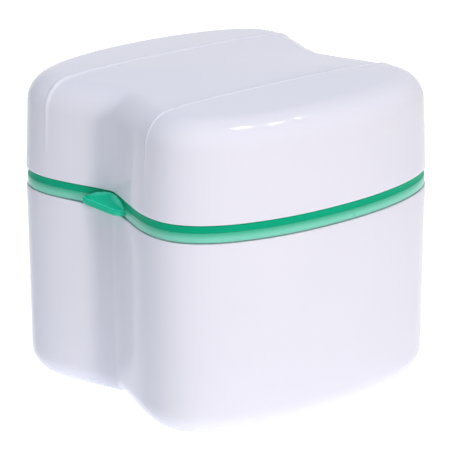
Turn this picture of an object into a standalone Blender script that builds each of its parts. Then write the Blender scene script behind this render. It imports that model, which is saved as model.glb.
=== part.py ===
"""Denture case: a soaking tub, a collar that hangs a strainer in it, and a hinged domed lid.

Lengths are metres and angles degrees. +Z is up and the front, with the latch tab, faces -Y.
Every wall follows one plan outline, set inwards along its normals. The foot stands on z = 0.
"""

import math

import bmesh
import bpy
import numpy as np

# Plan outline: a rounded box with a shallow notch pressed into its front and its back
HALF_WIDTH = 0.0450
HALF_DEPTH = 0.0483
SIDE_POWER = 4.48
FRONT_POWER = 2.04
NOTCH_DEPTH = 0.0108
NOTCH_REACH = 0.0231
NOTCH_POWER = 1.47
NOTCH_SOFTNESS = 0.0030
NOTCH_FADE_SHARE = 0.6
QUARTER_STEPS = 16
DENSE_STEPS = 4000
CORNER_WEIGHT = 0.9

# Gaps between pieces
SEAT_GAP = 0.0003
PIN_GAP = 0.00015
OVERRUN = 0.0010

# Tub
SHOULDER_HEIGHT = 0.05175
TUB_WALL = 0.0026
TUB_FLOOR = 0.0026
TUB_DRAFT = 0.3
TUB_ROUND = 0.0077
TUB_INNER_ROUND = 0.0055
SHOULDER_ROUND = 0.0004
FOOT_WIDTH = 0.0022
FOOT_RECESS = 0.0008
NECK_WALL = 0.0012
NECK_HEIGHT = 0.00165
NECK_CHAMFER = 0.0003
POCKET_DEPTH = 0.00015

# Collar
BAND_INSET = 0.00035
BAND_HEIGHT = 0.00245
BAND_ROUND = 0.0003
SKIRT_WALL = 0.00075
WEB_THICKNESS = 0.0008
LIP_INSET = 0.0027
LIP_WALL = 0.0012
LIP_HEIGHT = 0.0045
LIP_CHAMFER = 0.0004
LEDGE_WIDTH = 0.0010
SLEEVE_DEPTH = 0.0033
GROOVE_DEPTH = 0.0009
GROOVE_HEIGHT = 0.0011
GROOVE_RISE = 0.0005

# Seals
LID_SEAL_INSET = 0.00085
LID_SEAL_SEAT_GAP = 0.0002
TUB_SEAL_PROUD = 0.0002

# Seam between the collar's band and the lid's edge
SEAM_HEIGHT = 0.0019

# Strainer
STRAINER_CLEARANCE = 0.0004
STRAINER_WALL = 0.0013
STRAINER_FLOOR = 0.0015
STRAINER_DRAFT = 1.5
STRAINER_ROUND = 0.0040
STRAINER_INNER_ROUND = 0.0027
STRAINER_LIFT = 0.0064
FLANGE_THICKNESS = 0.0010
MESH_HOLE = 0.0042
MESH_PITCH = 0.0068
MESH_MARGIN = 0.0020
SLOT_WIDTH = 0.0026
SLOT_HEIGHT = 0.0130
SLOT_RISE = 0.0070
SLOT_ROW_PITCH = 0.0175
SLOT_ROWS = 2
SLOT_SKIP = 4

# Lid
LID_RISE = 0.0254
LID_WALL = 0.0022
LID_DRAFT = 2.5
LID_ROUND = 0.0079
LID_INNER_ROUND = 0.0060
LID_EDGE_ROUND = 0.0003
CROWN_RISE = 0.0014
CROWN_SHARES = (0.8, 0.5)
BAND_HALF_WIDTH = 0.0207
BAND_DROP = 0.00045
BAND_FADE_DROP = 0.00008
BAND_FADE_DEPTH = 0.0030

# Hinge in the back notch
KNUCKLE_RADIUS = 0.0020
HINGE_RISE = 0.0009
HINGE_PIN_RADIUS = 0.0009
LID_KNUCKLE_HALF = 0.0050
COLLAR_KNUCKLE_LENGTH = 0.0040
LID_ARM_HEIGHT = 0.0030
LID_ARM_START = 200.0
COLLAR_ARM_START = -110.0
ARM_SWEEP = 270.0

# Latch in the front notch
LATCH_PIVOT_INSET = 0.0020
LATCH_PIVOT_RISE = 0.00125
LATCH_PIN_RADIUS = 0.0005
LATCH_BARREL_RADIUS = 0.0011
LATCH_HALF_WIDTH = 0.0047
LATCH_PIN_HALF = 0.0081
EAR_HALF_WIDTH = 0.0088
EAR_WALL = 0.0009
TAB_HALF_WIDTH = 0.0096
TAB_REACH = 0.0037
TAB_CORNER = 0.0022
TAB_THICKNESS = 0.0021
TAB_RISE = 0.0005
TAB_EDGE = 0.0005
STEM_HALF = 0.0008
STEM_EMBED = 0.0015
HOOK_INSET = 0.0010
HOOK_THICKNESS = 0.0010
HOOK_HEIGHT = 0.0060
NIB_REACH = 0.0006
NIB_DROP = 0.0011
NIB_FACE = 0.0005
CATCH_GAP = 0.0002
CATCH_LEDGE = 0.0006
CATCH_LEDGE_HEIGHT = 0.0008
CATCH_THICKNESS = 0.0012
CATCH_RISE = 0.0005
CATCH_HALF_WIDTH = 0.0042
SHELF_THICKNESS = 0.0016

# Facets
ROUND_STEPS = 4
ROD_SIDES = 16
ARM_STEPS = 12
CORNER_STEPS = 4
SHARP_ANGLE = 32.0

# Heights that follow from the sizes above
BAND_BOTTOM = SHOULDER_HEIGHT + SEAT_GAP
BAND_TOP = BAND_BOTTOM + BAND_HEIGHT
LID_EDGE = BAND_TOP + SEAM_HEIGHT
LID_TOP = LID_EDGE + LID_RISE
WEB_BOTTOM = BAND_TOP - WEB_THICKNESS
HINGE_HEIGHT = BAND_TOP + HINGE_RISE
STRAINER_BOTTOM = TUB_FLOOR + STRAINER_LIFT
SLEEVE_INSET = TUB_WALL + SEAT_GAP
LEDGE_INSET = LIP_INSET + LIP_WALL + LEDGE_WIDTH
STRAINER_INSET = LEDGE_INSET + STRAINER_CLEARANCE
FLANGE_INSET = LIP_INSET + LIP_WALL + SEAT_GAP
FLANGE_BOTTOM = BAND_TOP + SEAT_GAP
NOTCH_WALL = HALF_DEPTH - NOTCH_DEPTH


def tan(degrees):
    """Tangent of an angle in degrees."""
    return math.tan(math.radians(degrees))


def quarter_outline():
    """Points of the outline in the +X +Y quarter, crowded towards the middle of the notch."""
    crowded = 1 - (1 - np.linspace(0, 1, DENSE_STEPS)) ** 3
    turn = crowded * math.pi / 2
    across = HALF_WIDTH * np.clip(np.cos(turn), 0, 1) ** (2 / SIDE_POWER)
    along = HALF_DEPTH * np.sin(turn) ** (2 / FRONT_POWER)
    spread = np.hypot(across, NOTCH_SOFTNESS) ** NOTCH_POWER - NOTCH_SOFTNESS**NOTCH_POWER
    press = NOTCH_DEPTH * np.exp(-spread / NOTCH_REACH**NOTCH_POWER)
    fade = np.clip(along / (NOTCH_FADE_SHARE * HALF_DEPTH), 0, 1)
    return np.stack([across, along - press * fade * fade * (3 - 2 * fade)], axis=1)


def plan_outline():
    """The whole outline, anticlockwise from +X, with its outward normals."""
    dense = quarter_outline()
    step = np.hypot(*np.diff(dense, axis=0).T)
    length = np.concatenate([[0], np.cumsum(step)])
    even = np.linspace(0, length[-1], DENSE_STEPS)
    curve = np.stack([np.interp(even, length, dense[:, axis]) for axis in (0, 1)], axis=1)
    slope = np.gradient(curve, axis=0)
    slope /= np.hypot(*slope.T)[:, None]
    normal = np.stack([slope[:, 1], -slope[:, 0]], axis=1)
    normal[0] = (1, 0)
    normal[-1] = (0, 1)
    bend = np.hypot(*np.diff(normal, axis=0).T)
    weight = np.cumsum(1 / DENSE_STEPS + CORNER_WEIGHT * bend / bend.sum())
    weight = np.concatenate([[0], weight])
    picks = np.linspace(0, weight[-1], QUARTER_STEPS + 1)
    quarter = [
        np.stack([np.interp(picks, weight, table[:, axis]) for axis in (0, 1)], axis=1)
        for table in (curve, normal)
    ]
    whole = []
    for table in quarter:
        half = np.concatenate([table, (table[::-1] * (-1, 1))[1:]])
        whole.append(np.concatenate([half, (half[::-1] * (1, -1))[1:-1]]))
    points, normals = whole
    return points, normals / np.hypot(*normals.T)[:, None]


OUTLINE, NORMALS = plan_outline()
HINGE_BACK = OUTLINE[:, 1].max()
CASE = "case"


def ring(inset, height, share=1):
    """One level of a wall: the outline set inwards, drawn in by a share, at a height."""
    flat = (OUTLINE - inset * NORMALS) * share
    return [(x, y, height) for x, y in flat]


def arc(centre, radius, start, end, steps=ROUND_STEPS):
    """Points of an arc in a section, between two angles in degrees."""
    turns = np.radians(np.linspace(start, end, steps + 1))
    return [(centre[0] + radius * math.cos(t), centre[1] + radius * math.sin(t)) for t in turns]


def empty(name, location, parent=None):
    """A datum or joint axis that pieces hang from."""
    holder = bpy.data.objects.new(name, None)
    bpy.context.collection.objects.link(holder)
    holder.location = location
    holder.parent = parent
    return holder


def finish_mesh(name, mesh, cutter=False):
    """Turns a bmesh into a smooth-shaded object, hidden where it only shapes another piece."""
    bmesh.ops.recalc_face_normals(mesh, faces=mesh.faces)
    data = bpy.data.meshes.new(name)
    mesh.to_mesh(data)
    mesh.free()
    data.shade_smooth()
    data.set_sharp_from_angle(angle=math.radians(SHARP_ANGLE))
    piece = bpy.data.objects.new(name, data)
    bpy.context.collection.objects.link(piece)
    piece.parent = bpy.data.objects[CASE]
    if cutter:
        piece.hide_render = True
        piece.display_type = "WIRE"
    return piece


def loft(name, rings, closed=False, cutter=False):
    """Skins level outlines one after another, capped at both ends unless the section closes."""
    mesh = bmesh.new()
    loops = [[mesh.verts.new(point) for point in level] for level in rings]
    follow = loops[1:] + (loops[:1] if closed else [])
    for lower, upper in zip(loops, follow):
        for first in range(len(lower)):
            second = (first + 1) % len(lower)
            mesh.faces.new((lower[first], lower[second], upper[second], upper[first]))
    if not closed:
        mesh.faces.new(loops[0])
        mesh.faces.new(loops[-1])
    return finish_mesh(name, mesh, cutter)


def extrude_x(name, profile, start, end, cutter=False):
    """A profile in Y and Z, extruded from one X to another."""
    mesh = bmesh.new()
    face = mesh.faces.new([mesh.verts.new((start, y, z)) for y, z in profile])
    grown = bmesh.ops.extrude_face_region(mesh, geom=[face])["geom"]
    moved = [item for item in grown if isinstance(item, bmesh.types.BMVert)]
    bmesh.ops.translate(mesh, verts=moved, vec=(end - start, 0, 0))
    return finish_mesh(name, mesh, cutter)


def extrude_z(name, profile, low, high, cutter=True):
    """A plan profile in X and Y, extruded from one height to another."""
    mesh = bmesh.new()
    face = mesh.faces.new([mesh.verts.new((x, y, low)) for x, y in profile])
    grown = bmesh.ops.extrude_face_region(mesh, geom=[face])["geom"]
    moved = [item for item in grown if isinstance(item, bmesh.types.BMVert)]
    bmesh.ops.translate(mesh, verts=moved, vec=(0, 0, high - low))
    return finish_mesh(name, mesh, cutter)


def rectangle(left, right, low, high):
    """Corners of a rectangle in a section or plan."""
    return [(left, low), (right, low), (right, high), (left, high)]


def rod(name, centre, radius, start, end, cutter=False):
    """A round rod along X about a centre in Y and Z."""
    step = 360 / ROD_SIDES
    return extrude_x(name, arc(centre, radius, 0, 360 - step, ROD_SIDES - 1), start, end, cutter)


def combine(piece, other, operation):
    """Adds a Boolean that joins the other solid to a piece or cuts it away."""
    modifier = piece.modifiers.new(f"{operation.lower()} {other.name}", "BOOLEAN")
    modifier.operation = operation
    modifier.solver = "EXACT"
    modifier.object = other


def cut(piece, *others):
    """Cuts each other solid from a piece."""
    for other in others:
        combine(piece, other, "DIFFERENCE")


def join(piece, *others):
    """Joins each other solid to a piece."""
    for other in others:
        combine(piece, other, "UNION")


def material(name, colour, roughness, metallic=0.0, transmission=0.0):
    """A Principled material."""
    made = bpy.data.materials.new(name)
    made.use_nodes = True
    shader = made.node_tree.nodes["Principled BSDF"]
    shader.inputs["Base Color"].default_value = (*colour, 1.0)
    shader.inputs["Roughness"].default_value = roughness
    shader.inputs["Metallic"].default_value = metallic
    shader.inputs["Transmission Weight"].default_value = transmission
    made.diffuse_color = (*colour, 1.0)
    return made


def white_plastic():
    """Gloss white of the tub and the lid."""
    return material("white_plastic", (0.84, 0.84, 0.87), 0.16)


def mint_plastic():
    """Translucent mint of the collar."""
    return material("mint_plastic", (0.30, 0.68, 0.53), 0.25, transmission=0.2)


def green_plastic():
    """Strong green of the latch."""
    return material("green_plastic", (0.005, 0.44, 0.23), 0.22)


def strainer_plastic():
    """Translucent green of the strainer."""
    return material("strainer_plastic", (0.10, 0.55, 0.36), 0.28, transmission=0.3)


def seal_rubber():
    """Soft green of the seals."""
    return material("seal_rubber", (0.004, 0.36, 0.19), 0.5)


def pin_steel():
    """Bright steel of the pins."""
    return material("pin_steel", (0.62, 0.63, 0.65), 0.25, metallic=1.0)


def dress(piece, look, holder, axis=(0, 0, 0)):
    """Gives a piece its material and hangs it on its joint's axis, without moving its shape."""
    piece.data.materials.append(look)
    piece.parent = holder
    piece.location = [-place for place in axis]


def tub_inset(height):
    """How far the tub's drafted outer wall has drawn in at a height."""
    return (SHOULDER_HEIGHT - height) * tan(TUB_DRAFT)


def tub_section():
    """Tub wall from the middle of the underside, up the outside and down to the inner floor."""
    foot = TUB_ROUND + tub_inset(TUB_ROUND)
    shoulder = (SHOULDER_ROUND, SHOULDER_HEIGHT - SHOULDER_ROUND)
    neck_top = SHOULDER_HEIGHT + NECK_HEIGHT
    neck = TUB_WALL - NECK_WALL
    inner_low = TUB_FLOOR + TUB_INNER_ROUND
    inner_wall = TUB_WALL + tub_inset(inner_low)
    return [
        (foot + FOOT_WIDTH + FOOT_RECESS, FOOT_RECESS),
        (foot + FOOT_WIDTH, 0),
        *arc((foot, TUB_ROUND), TUB_ROUND, 270, 180),
        *arc(shoulder, SHOULDER_ROUND, 180, 90, 1),
        (neck, SHOULDER_HEIGHT),
        (neck, neck_top - NECK_CHAMFER),
        (neck + NECK_CHAMFER, neck_top),
        (TUB_WALL, neck_top),
        *arc((inner_wall + TUB_INNER_ROUND, inner_low), TUB_INNER_ROUND, 180, 270),
    ]


def make_tub(holder):
    """White tub, with a foot rim below, a neck for the collar and a pocket under the latch."""
    tub = loft("tub", [ring(*point) for point in tub_section()])
    half = EAR_HALF_WIDTH + OVERRUN
    plan = rectangle(-half, half, front_y(-TAB_REACH), front_y(TUB_WALL + OVERRUN))
    top = SHOULDER_HEIGHT + NECK_HEIGHT + OVERRUN
    cut(tub, extrude_z("latch_pocket", plan, SHOULDER_HEIGHT - POCKET_DEPTH, top))
    dress(tub, white_plastic(), holder)


def collar_section():
    """Collar ring: outer skirt and band, sealing lip above, strainer ledge and sleeve below."""
    lip_top = BAND_TOP + LIP_HEIGHT
    lip_back = LIP_INSET + LIP_WALL
    sleeve_bottom = WEB_BOTTOM - SLEEVE_DEPTH
    groove_low = sleeve_bottom + GROOVE_RISE
    groove_high = groove_low + GROOVE_HEIGHT
    groove_back = SLEEVE_INSET + GROOVE_DEPTH
    return [
        (BAND_INSET, BAND_BOTTOM),
        *arc((BAND_INSET + BAND_ROUND, BAND_TOP - BAND_ROUND), BAND_ROUND, 180, 90, 1),
        (LIP_INSET, BAND_TOP),
        (LIP_INSET, lip_top - LIP_CHAMFER),
        (LIP_INSET + LIP_CHAMFER, lip_top),
        (lip_back, lip_top),
        (lip_back, BAND_TOP),
        (LEDGE_INSET, BAND_TOP),
        (LEDGE_INSET, sleeve_bottom),
        (SLEEVE_INSET, sleeve_bottom),
        (SLEEVE_INSET, groove_low),
        (groove_back, groove_low),
        (groove_back, groove_high),
        (SLEEVE_INSET, groove_high),
        (SLEEVE_INSET, WEB_BOTTOM),
        (BAND_INSET + SKIRT_WALL, WEB_BOTTOM),
        (BAND_INSET + SKIRT_WALL, BAND_BOTTOM),
    ]


def knuckle(name, wall_levels, low, high, arm_start, start, end):
    """A hinge barrel, with the arm that joins it to the wall of the back notch."""
    barrel = arc(
        (HINGE_BACK, HINGE_HEIGHT), KNUCKLE_RADIUS, arm_start, arm_start + ARM_SWEEP, ARM_STEPS
    )
    foot = NOTCH_WALL - LID_WALL
    arm = extrude_x(name, [*barrel, (foot, high), (foot, low)], start, end, cutter=True)
    cut(arm, loft(f"{name}_wall", [ring(*level) for level in wall_levels], cutter=True))
    return arm


def front_y(inset):
    """Y of a wall in the middle of the front notch, at an inset from the outline."""
    return inset - NOTCH_WALL


def latch_pivot():
    """Y and Z of the latch's axis."""
    return front_y(LATCH_PIVOT_INSET), BAND_BOTTOM + LATCH_PIVOT_RISE


def hook_back():
    """Y of the hook's inner face."""
    return latch_pivot()[0] + HOOK_INSET + HOOK_THICKNESS


def make_collar(holder):
    """Mint collar: the ring, its two hinge knuckles, and the ears and slot of the latch."""
    collar = loft("collar", [ring(*point) for point in collar_section()], closed=True)
    inner = LID_KNUCKLE_HALF + SEAT_GAP
    outer = inner + COLLAR_KNUCKLE_LENGTH
    wall = BAND_INSET + SKIRT_WALL / 2
    levels = [(wall, 0), (wall, BAND_TOP), (-SEAT_GAP, BAND_TOP), (-SEAT_GAP, LID_TOP)]
    arm = (levels, BAND_BOTTOM, BAND_TOP, COLLAR_ARM_START)
    join(collar, knuckle("collar_knuckle_left", *arm, -outer, -inner))
    join(collar, knuckle("collar_knuckle_right", *arm, inner, outer))
    pivot_y, pivot_z = latch_pivot()
    ears = extrude_x(
        "latch_ears",
        rectangle(pivot_y - EAR_WALL, pivot_y + HOOK_INSET, BAND_BOTTOM, BAND_TOP),
        -EAR_HALF_WIDTH,
        EAR_HALF_WIDTH,
        cutter=True,
    )
    slot_half = LATCH_HALF_WIDTH + SEAT_GAP
    slot = extrude_x(
        "latch_slot",
        rectangle(
            front_y(-OVERRUN - TAB_REACH),
            hook_back() + SEAT_GAP,
            BAND_BOTTOM - SEAT_GAP,
            BAND_TOP + LIP_HEIGHT + OVERRUN,
        ),
        -slot_half,
        slot_half,
        cutter=True,
    )
    pin_half = LATCH_PIN_HALF + SEAT_GAP
    latch_bore = rod(
        "latch_bore",
        (pivot_y, pivot_z),
        LATCH_PIN_RADIUS + PIN_GAP,
        -pin_half,
        pin_half,
        cutter=True,
    )
    join(collar, ears)
    cut(collar, slot, latch_bore, hinge_bore("collar_bore"))
    dress(collar, mint_plastic(), holder)


def hinge_bore(name):
    """The hole that the hinge pin runs in, through every knuckle."""
    reach = LID_KNUCKLE_HALF + SEAT_GAP + COLLAR_KNUCKLE_LENGTH + OVERRUN
    radius = HINGE_PIN_RADIUS + PIN_GAP
    return rod(name, (HINGE_BACK, HINGE_HEIGHT), radius, -reach, reach, cutter=True)


def make_lid_seal(holder):
    """Green seal on the collar's band, under the lid's edge."""
    low = BAND_TOP + LID_SEAL_SEAT_GAP
    high = LID_EDGE - LID_SEAL_SEAT_GAP
    corners = rectangle(LID_SEAL_INSET, LIP_INSET - SEAT_GAP, low, high)
    seal = loft("lid_seal", [ring(*point) for point in corners], closed=True)
    dress(seal, seal_rubber(), holder)


def make_tub_seal(holder):
    """Green seal in the sleeve's groove, against the tub's inner wall."""
    low = WEB_BOTTOM - SLEEVE_DEPTH + GROOVE_RISE + PIN_GAP
    high = low + GROOVE_HEIGHT - 2 * PIN_GAP
    outer = SLEEVE_INSET - TUB_SEAL_PROUD
    corners = rectangle(outer, SLEEVE_INSET + GROOVE_DEPTH - PIN_GAP, low, high)
    seal = loft("tub_seal", [ring(*point) for point in corners], closed=True)
    dress(seal, seal_rubber(), holder)


def strainer_section():
    """Strainer wall from the middle of the underside, over the flange and down to the floor."""
    low = STRAINER_BOTTOM
    flange_top = FLANGE_BOTTOM + FLANGE_THICKNESS
    outer_low = STRAINER_INSET + (FLANGE_BOTTOM - low - STRAINER_ROUND) * tan(STRAINER_DRAFT)
    inner_low = outer_low + STRAINER_WALL
    floor = low + STRAINER_FLOOR
    return [
        *arc((outer_low + STRAINER_ROUND, low + STRAINER_ROUND), STRAINER_ROUND, 270, 180, 3),
        (STRAINER_INSET, FLANGE_BOTTOM),
        (FLANGE_INSET, FLANGE_BOTTOM),
        (FLANGE_INSET, flange_top),
        (STRAINER_INSET + STRAINER_WALL, flange_top),
        *arc(
            (inner_low + STRAINER_INNER_ROUND, floor + STRAINER_INNER_ROUND),
            STRAINER_INNER_ROUND,
            180,
            270,
            3,
        ),
    ]


def inside_outline(points, inset):
    """Which plan points lie inside the outline at an inset, by the angle it turns round them."""
    edge = OUTLINE - inset * NORMALS
    rays = edge[None] - np.asarray(points)[:, None]
    angle = np.unwrap(np.arctan2(rays[..., 1], rays[..., 0]), axis=1)
    closing = np.arctan2(rays[:, 0, 1], rays[:, 0, 0]) - angle[:, -1]
    closing = (closing + math.pi) % (2 * math.pi) - math.pi
    return np.abs(angle[:, -1] + closing - angle[:, 0]) > math.pi


def add_prism(mesh, corners, low, high):
    """Adds an upright prism on plan corners to a mesh of cutters."""
    face = mesh.faces.new([mesh.verts.new((x, y, low)) for x, y in corners])
    grown = bmesh.ops.extrude_face_region(mesh, geom=[face])["geom"]
    moved = [item for item in grown if isinstance(item, bmesh.types.BMVert)]
    bmesh.ops.translate(mesh, verts=moved, vec=(0, 0, high - low))


def floor_holes():
    """Cutters for the square holes of the strainer's floor."""
    section = strainer_section()
    edge = section[-1][0]
    reach = int(HALF_WIDTH / MESH_PITCH)
    places = [(i, j) for i in range(-reach, reach + 1) for j in range(-reach, reach + 1)]
    mesh = bmesh.new()
    half = MESH_HOLE / 2
    for column, row in places:
        x, y = column * MESH_PITCH, row * MESH_PITCH
        corners = rectangle(x - half, x + half, y - half, y + half)
        if inside_outline(corners, edge + MESH_MARGIN).all():
            low = STRAINER_BOTTOM - OVERRUN
            add_prism(mesh, corners, low, STRAINER_BOTTOM + STRAINER_FLOOR + OVERRUN)
    return finish_mesh("floor_holes", mesh, cutter=True)


def wall_slots():
    """Cutters for the upright slots of the strainer's wall, square to it."""
    mesh = bmesh.new()
    wall = STRAINER_INSET + STRAINER_WALL
    first = STRAINER_BOTTOM + STRAINER_ROUND + SLOT_RISE - SLOT_HEIGHT / 2
    for place in range(0, len(OUTLINE), SLOT_SKIP):
        along = np.array([-NORMALS[place][1], NORMALS[place][0]]) * SLOT_WIDTH / 2
        through = NORMALS[place] * (STRAINER_WALL + 2 * OVERRUN)
        centre = OUTLINE[place] - NORMALS[place] * wall
        corners = [
            centre + along * a + through * b for a, b in ((-1, -1), (1, -1), (1, 1), (-1, 1))
        ]
        for row in range(SLOT_ROWS):
            low = first + row * SLOT_ROW_PITCH
            add_prism(mesh, corners, low, low + SLOT_HEIGHT)
    return finish_mesh("wall_slots", mesh, cutter=True)


def make_strainer(holder):
    """Green strainer that hangs by its flange on the collar's ledge."""
    strainer = loft("strainer", [ring(*point) for point in strainer_section()])
    half = LATCH_HALF_WIDTH + SEAT_GAP + CATCH_GAP
    relief = rectangle(-half, half, front_y(0), hook_back() + SEAT_GAP)
    top = FLANGE_BOTTOM + FLANGE_THICKNESS + OVERRUN
    cut(strainer, extrude_z("hook_relief", relief, FLANGE_BOTTOM - SEAT_GAP, top))
    cut(strainer, floor_holes(), wall_slots())
    dress(strainer, strainer_plastic(), holder)


def lid_section(drop=0):
    """Lid's outer side from the crown down to its edge. A drop lowers the top."""
    top_inset = LID_ROUND + (LID_RISE - LID_ROUND) * tan(LID_DRAFT)
    centre = (top_inset, LID_TOP - LID_ROUND)
    crown = [
        (top_inset, LID_TOP - drop + CROWN_RISE * (1 - share * share), share)
        for share in sorted(CROWN_SHARES)
    ]
    return crown, centre


def lid_outer():
    """Outer half of the lid's section."""
    crown, centre = lid_section()
    edge = (LID_EDGE_ROUND, LID_EDGE + LID_EDGE_ROUND)
    shoulder = arc(centre, LID_ROUND, 90, 180, ROUND_STEPS + 1)
    return [*crown, *shoulder, *arc(edge, LID_EDGE_ROUND, 180, 270, 1)]


def lid_inner():
    """Inner half of the lid's section, from the edge up to the roof."""
    roof = LID_TOP - LID_WALL
    low = roof - LID_INNER_ROUND
    wall = LID_WALL + (low - LID_EDGE) * tan(LID_DRAFT)
    centre = (wall + LID_INNER_ROUND, low)
    return [(LID_WALL, LID_EDGE), *arc(centre, LID_INNER_ROUND, 180, 90)]


def band_channel():
    """Cutter that lowers the broad band between the lid's two lobes and fades down the front."""
    crown, centre = lid_section(BAND_DROP)
    drops = np.linspace(BAND_DROP, BAND_FADE_DROP, ROUND_STEPS + 2)
    turns = np.radians(np.linspace(90, 180, ROUND_STEPS + 2))
    over = [
        (centre[0] + radius * math.cos(turn), centre[1] + radius * math.sin(turn))
        for radius, turn in zip(LID_ROUND - drops, turns)
    ]
    fade_low = centre[1] - BAND_FADE_DEPTH
    wall = (fade_low - LID_EDGE) * tan(LID_DRAFT)
    foot = [(wall - 2 * BAND_FADE_DROP, fade_low), (wall - 2 * BAND_FADE_DROP, fade_low - OVERRUN)]
    core = loft("band_core", [ring(*point) for point in crown + over + foot], cutter=True)
    channel = extrude_z(
        "band_channel",
        rectangle(-BAND_HALF_WIDTH, BAND_HALF_WIDTH, -HALF_DEPTH, HALF_DEPTH),
        fade_low,
        LID_TOP + CROWN_RISE + OVERRUN,
    )
    cut(channel, core)
    return channel


def catch_profile():
    """Bracket inside the lid's front wall, with the ledge that the latch's nib holds down."""
    pivot_y = front_y(LATCH_PIVOT_INSET)
    nib_tip = pivot_y + HOOK_INSET + HOOK_THICKNESS + NIB_REACH
    ledge = nib_tip + CATCH_GAP
    face = ledge + CATCH_LEDGE
    back = face + CATCH_THICKNESS
    low = LID_EDGE + CATCH_RISE
    shelf = BAND_BOTTOM + LATCH_PIVOT_RISE + HOOK_HEIGHT + OVERRUN
    wall = front_y(LID_WALL / 2) + (shelf - LID_EDGE) * tan(LID_DRAFT)
    return [
        (wall, shelf),
        (face, shelf),
        (face, low + CATCH_LEDGE_HEIGHT + CATCH_LEDGE / 2),
        (ledge, low + CATCH_LEDGE_HEIGHT),
        (ledge, low + CATCH_LEDGE / 2),
        (face, low),
        (back, low),
        (back, shelf + SHELF_THICKNESS),
        (wall, shelf + SHELF_THICKNESS),
    ]


def make_lid(holder, axis):
    """White domed lid, with its lowered middle band, hinge knuckle and catch."""
    lid = loft("lid", [ring(*point) for point in lid_outer() + lid_inner()])
    high = LID_EDGE + LID_ARM_HEIGHT
    reach = (-LID_KNUCKLE_HALF, LID_KNUCKLE_HALF)
    wall = LID_WALL / 2
    step = LID_EDGE + LID_EDGE_ROUND
    levels = [(-SEAT_GAP, 0), (-SEAT_GAP, step), (wall, step), (wall, LID_TOP)]
    arm = knuckle("lid_knuckle", levels, step, high, LID_ARM_START, *reach)
    catch = extrude_x("lid_catch", catch_profile(), -CATCH_HALF_WIDTH, CATCH_HALF_WIDTH, cutter=True)
    cut(lid, band_channel())
    join(lid, arm, catch)
    cut(lid, hinge_bore("lid_bore"))
    dress(lid, white_plastic(), holder, axis)


def make_hinge_pin(holder):
    """Steel pin through the three knuckles."""
    reach = LID_KNUCKLE_HALF + COLLAR_KNUCKLE_LENGTH
    pin = rod("hinge_pin", (HINGE_BACK, HINGE_HEIGHT), HINGE_PIN_RADIUS, -reach, reach)
    dress(pin, pin_steel(), holder)


def tab_plan():
    """Plan of the thumb tab: a straight front with round corners."""
    front = front_y(-TAB_REACH)
    back = front_y(TUB_WALL)
    corner = TAB_HALF_WIDTH - TAB_CORNER
    right = arc((corner, front + TAB_CORNER), TAB_CORNER, 270, 360, CORNER_STEPS)
    left = arc((-corner, front + TAB_CORNER), TAB_CORNER, 180, 270, CORNER_STEPS)
    return [*left, *right, (TAB_HALF_WIDTH, back), (-TAB_HALF_WIDTH, back)]


def hook_profile():
    """Stem, upright hook and nib of the latch, seen from the side."""
    pivot_y, pivot_z = latch_pivot()
    outer = pivot_y + HOOK_INSET
    inner = outer + HOOK_THICKNESS
    top = pivot_z + HOOK_HEIGHT
    root = front_y(-STEM_EMBED)
    nib = top - NIB_DROP
    return [
        (root, pivot_z - STEM_HALF),
        (outer, pivot_z - STEM_HALF),
        (inner, pivot_z),
        (inner, nib),
        (inner + NIB_REACH, nib),
        (inner + NIB_REACH, nib + NIB_FACE),
        (inner, top),
        (outer, top),
        (outer, pivot_z + STEM_HALF),
        (root, pivot_z + STEM_HALF),
    ]


def make_latch(holder, axis):
    """Green latch: the thumb tab in the notch, its barrel and the hook inside the lid."""
    low = BAND_BOTTOM + TAB_RISE - SEAT_GAP
    latch = extrude_z("latch", tab_plan(), low, low + TAB_THICKNESS, cutter=False)
    soften = latch.modifiers.new("soft edge", "BEVEL")
    soften.width = TAB_EDGE
    soften.segments = 2
    soften.limit_method = "ANGLE"
    wall = loft(
        "tab_wall",
        [ring(BAND_INSET - SEAT_GAP, height) for height in (0, LID_EDGE)],
        cutter=True,
    )
    hook = extrude_x("latch_hook", hook_profile(), -LATCH_HALF_WIDTH, LATCH_HALF_WIDTH, cutter=True)
    pivot = latch_pivot()
    barrel = rod(
        "latch_barrel", pivot, LATCH_BARREL_RADIUS, -LATCH_HALF_WIDTH, LATCH_HALF_WIDTH, cutter=True
    )
    reach = LATCH_HALF_WIDTH + OVERRUN
    bore = rod("latch_eye", pivot, LATCH_PIN_RADIUS + PIN_GAP, -reach, reach, cutter=True)
    cut(latch, wall)
    join(latch, hook, barrel)
    cut(latch, bore)
    dress(latch, green_plastic(), holder, axis)


def make_latch_pin(holder):
    """Steel pin that the latch rocks on."""
    pin = rod("latch_pin", latch_pivot(), LATCH_PIN_RADIUS, -LATCH_PIN_HALF, LATCH_PIN_HALF)
    dress(pin, pin_steel(), holder)


def clear_scene():
    """Removes whatever the file opened with."""
    for item in list(bpy.data.objects):
        bpy.data.objects.remove(item, do_unlink=True)


def main():
    """Builds the case: the tub, what lifts out of it, and the lid and latch that turn on that."""
    clear_scene()
    case = empty(CASE, (0, -KNUCKLE_RADIUS / 2, 0))
    make_tub(case)
    insert = empty("insert", (0, 0, 0), case)
    make_collar(insert)
    make_strainer(insert)
    make_lid_seal(insert)
    make_tub_seal(insert)
    make_hinge_pin(insert)
    make_latch_pin(insert)
    hinge = (0, HINGE_BACK, HINGE_HEIGHT)
    make_lid(empty("lid_axis", hinge, insert), hinge)
    pivot = (0, *latch_pivot())
    make_latch(empty("latch_axis", pivot, insert), pivot)


main()
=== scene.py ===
"""Denture case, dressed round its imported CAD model.

A gloss white tub and a domed white lid meet at a green stripe: a mint collar below and a
dark green seal above. A green thumb tab sits in the front notch. Inside hangs a translucent
green strainer. Every wall follows one plan outline, set inwards along its normals.

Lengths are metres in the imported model's frame: +Z is up and the front, with the tab, faces -Y.
"""

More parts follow.
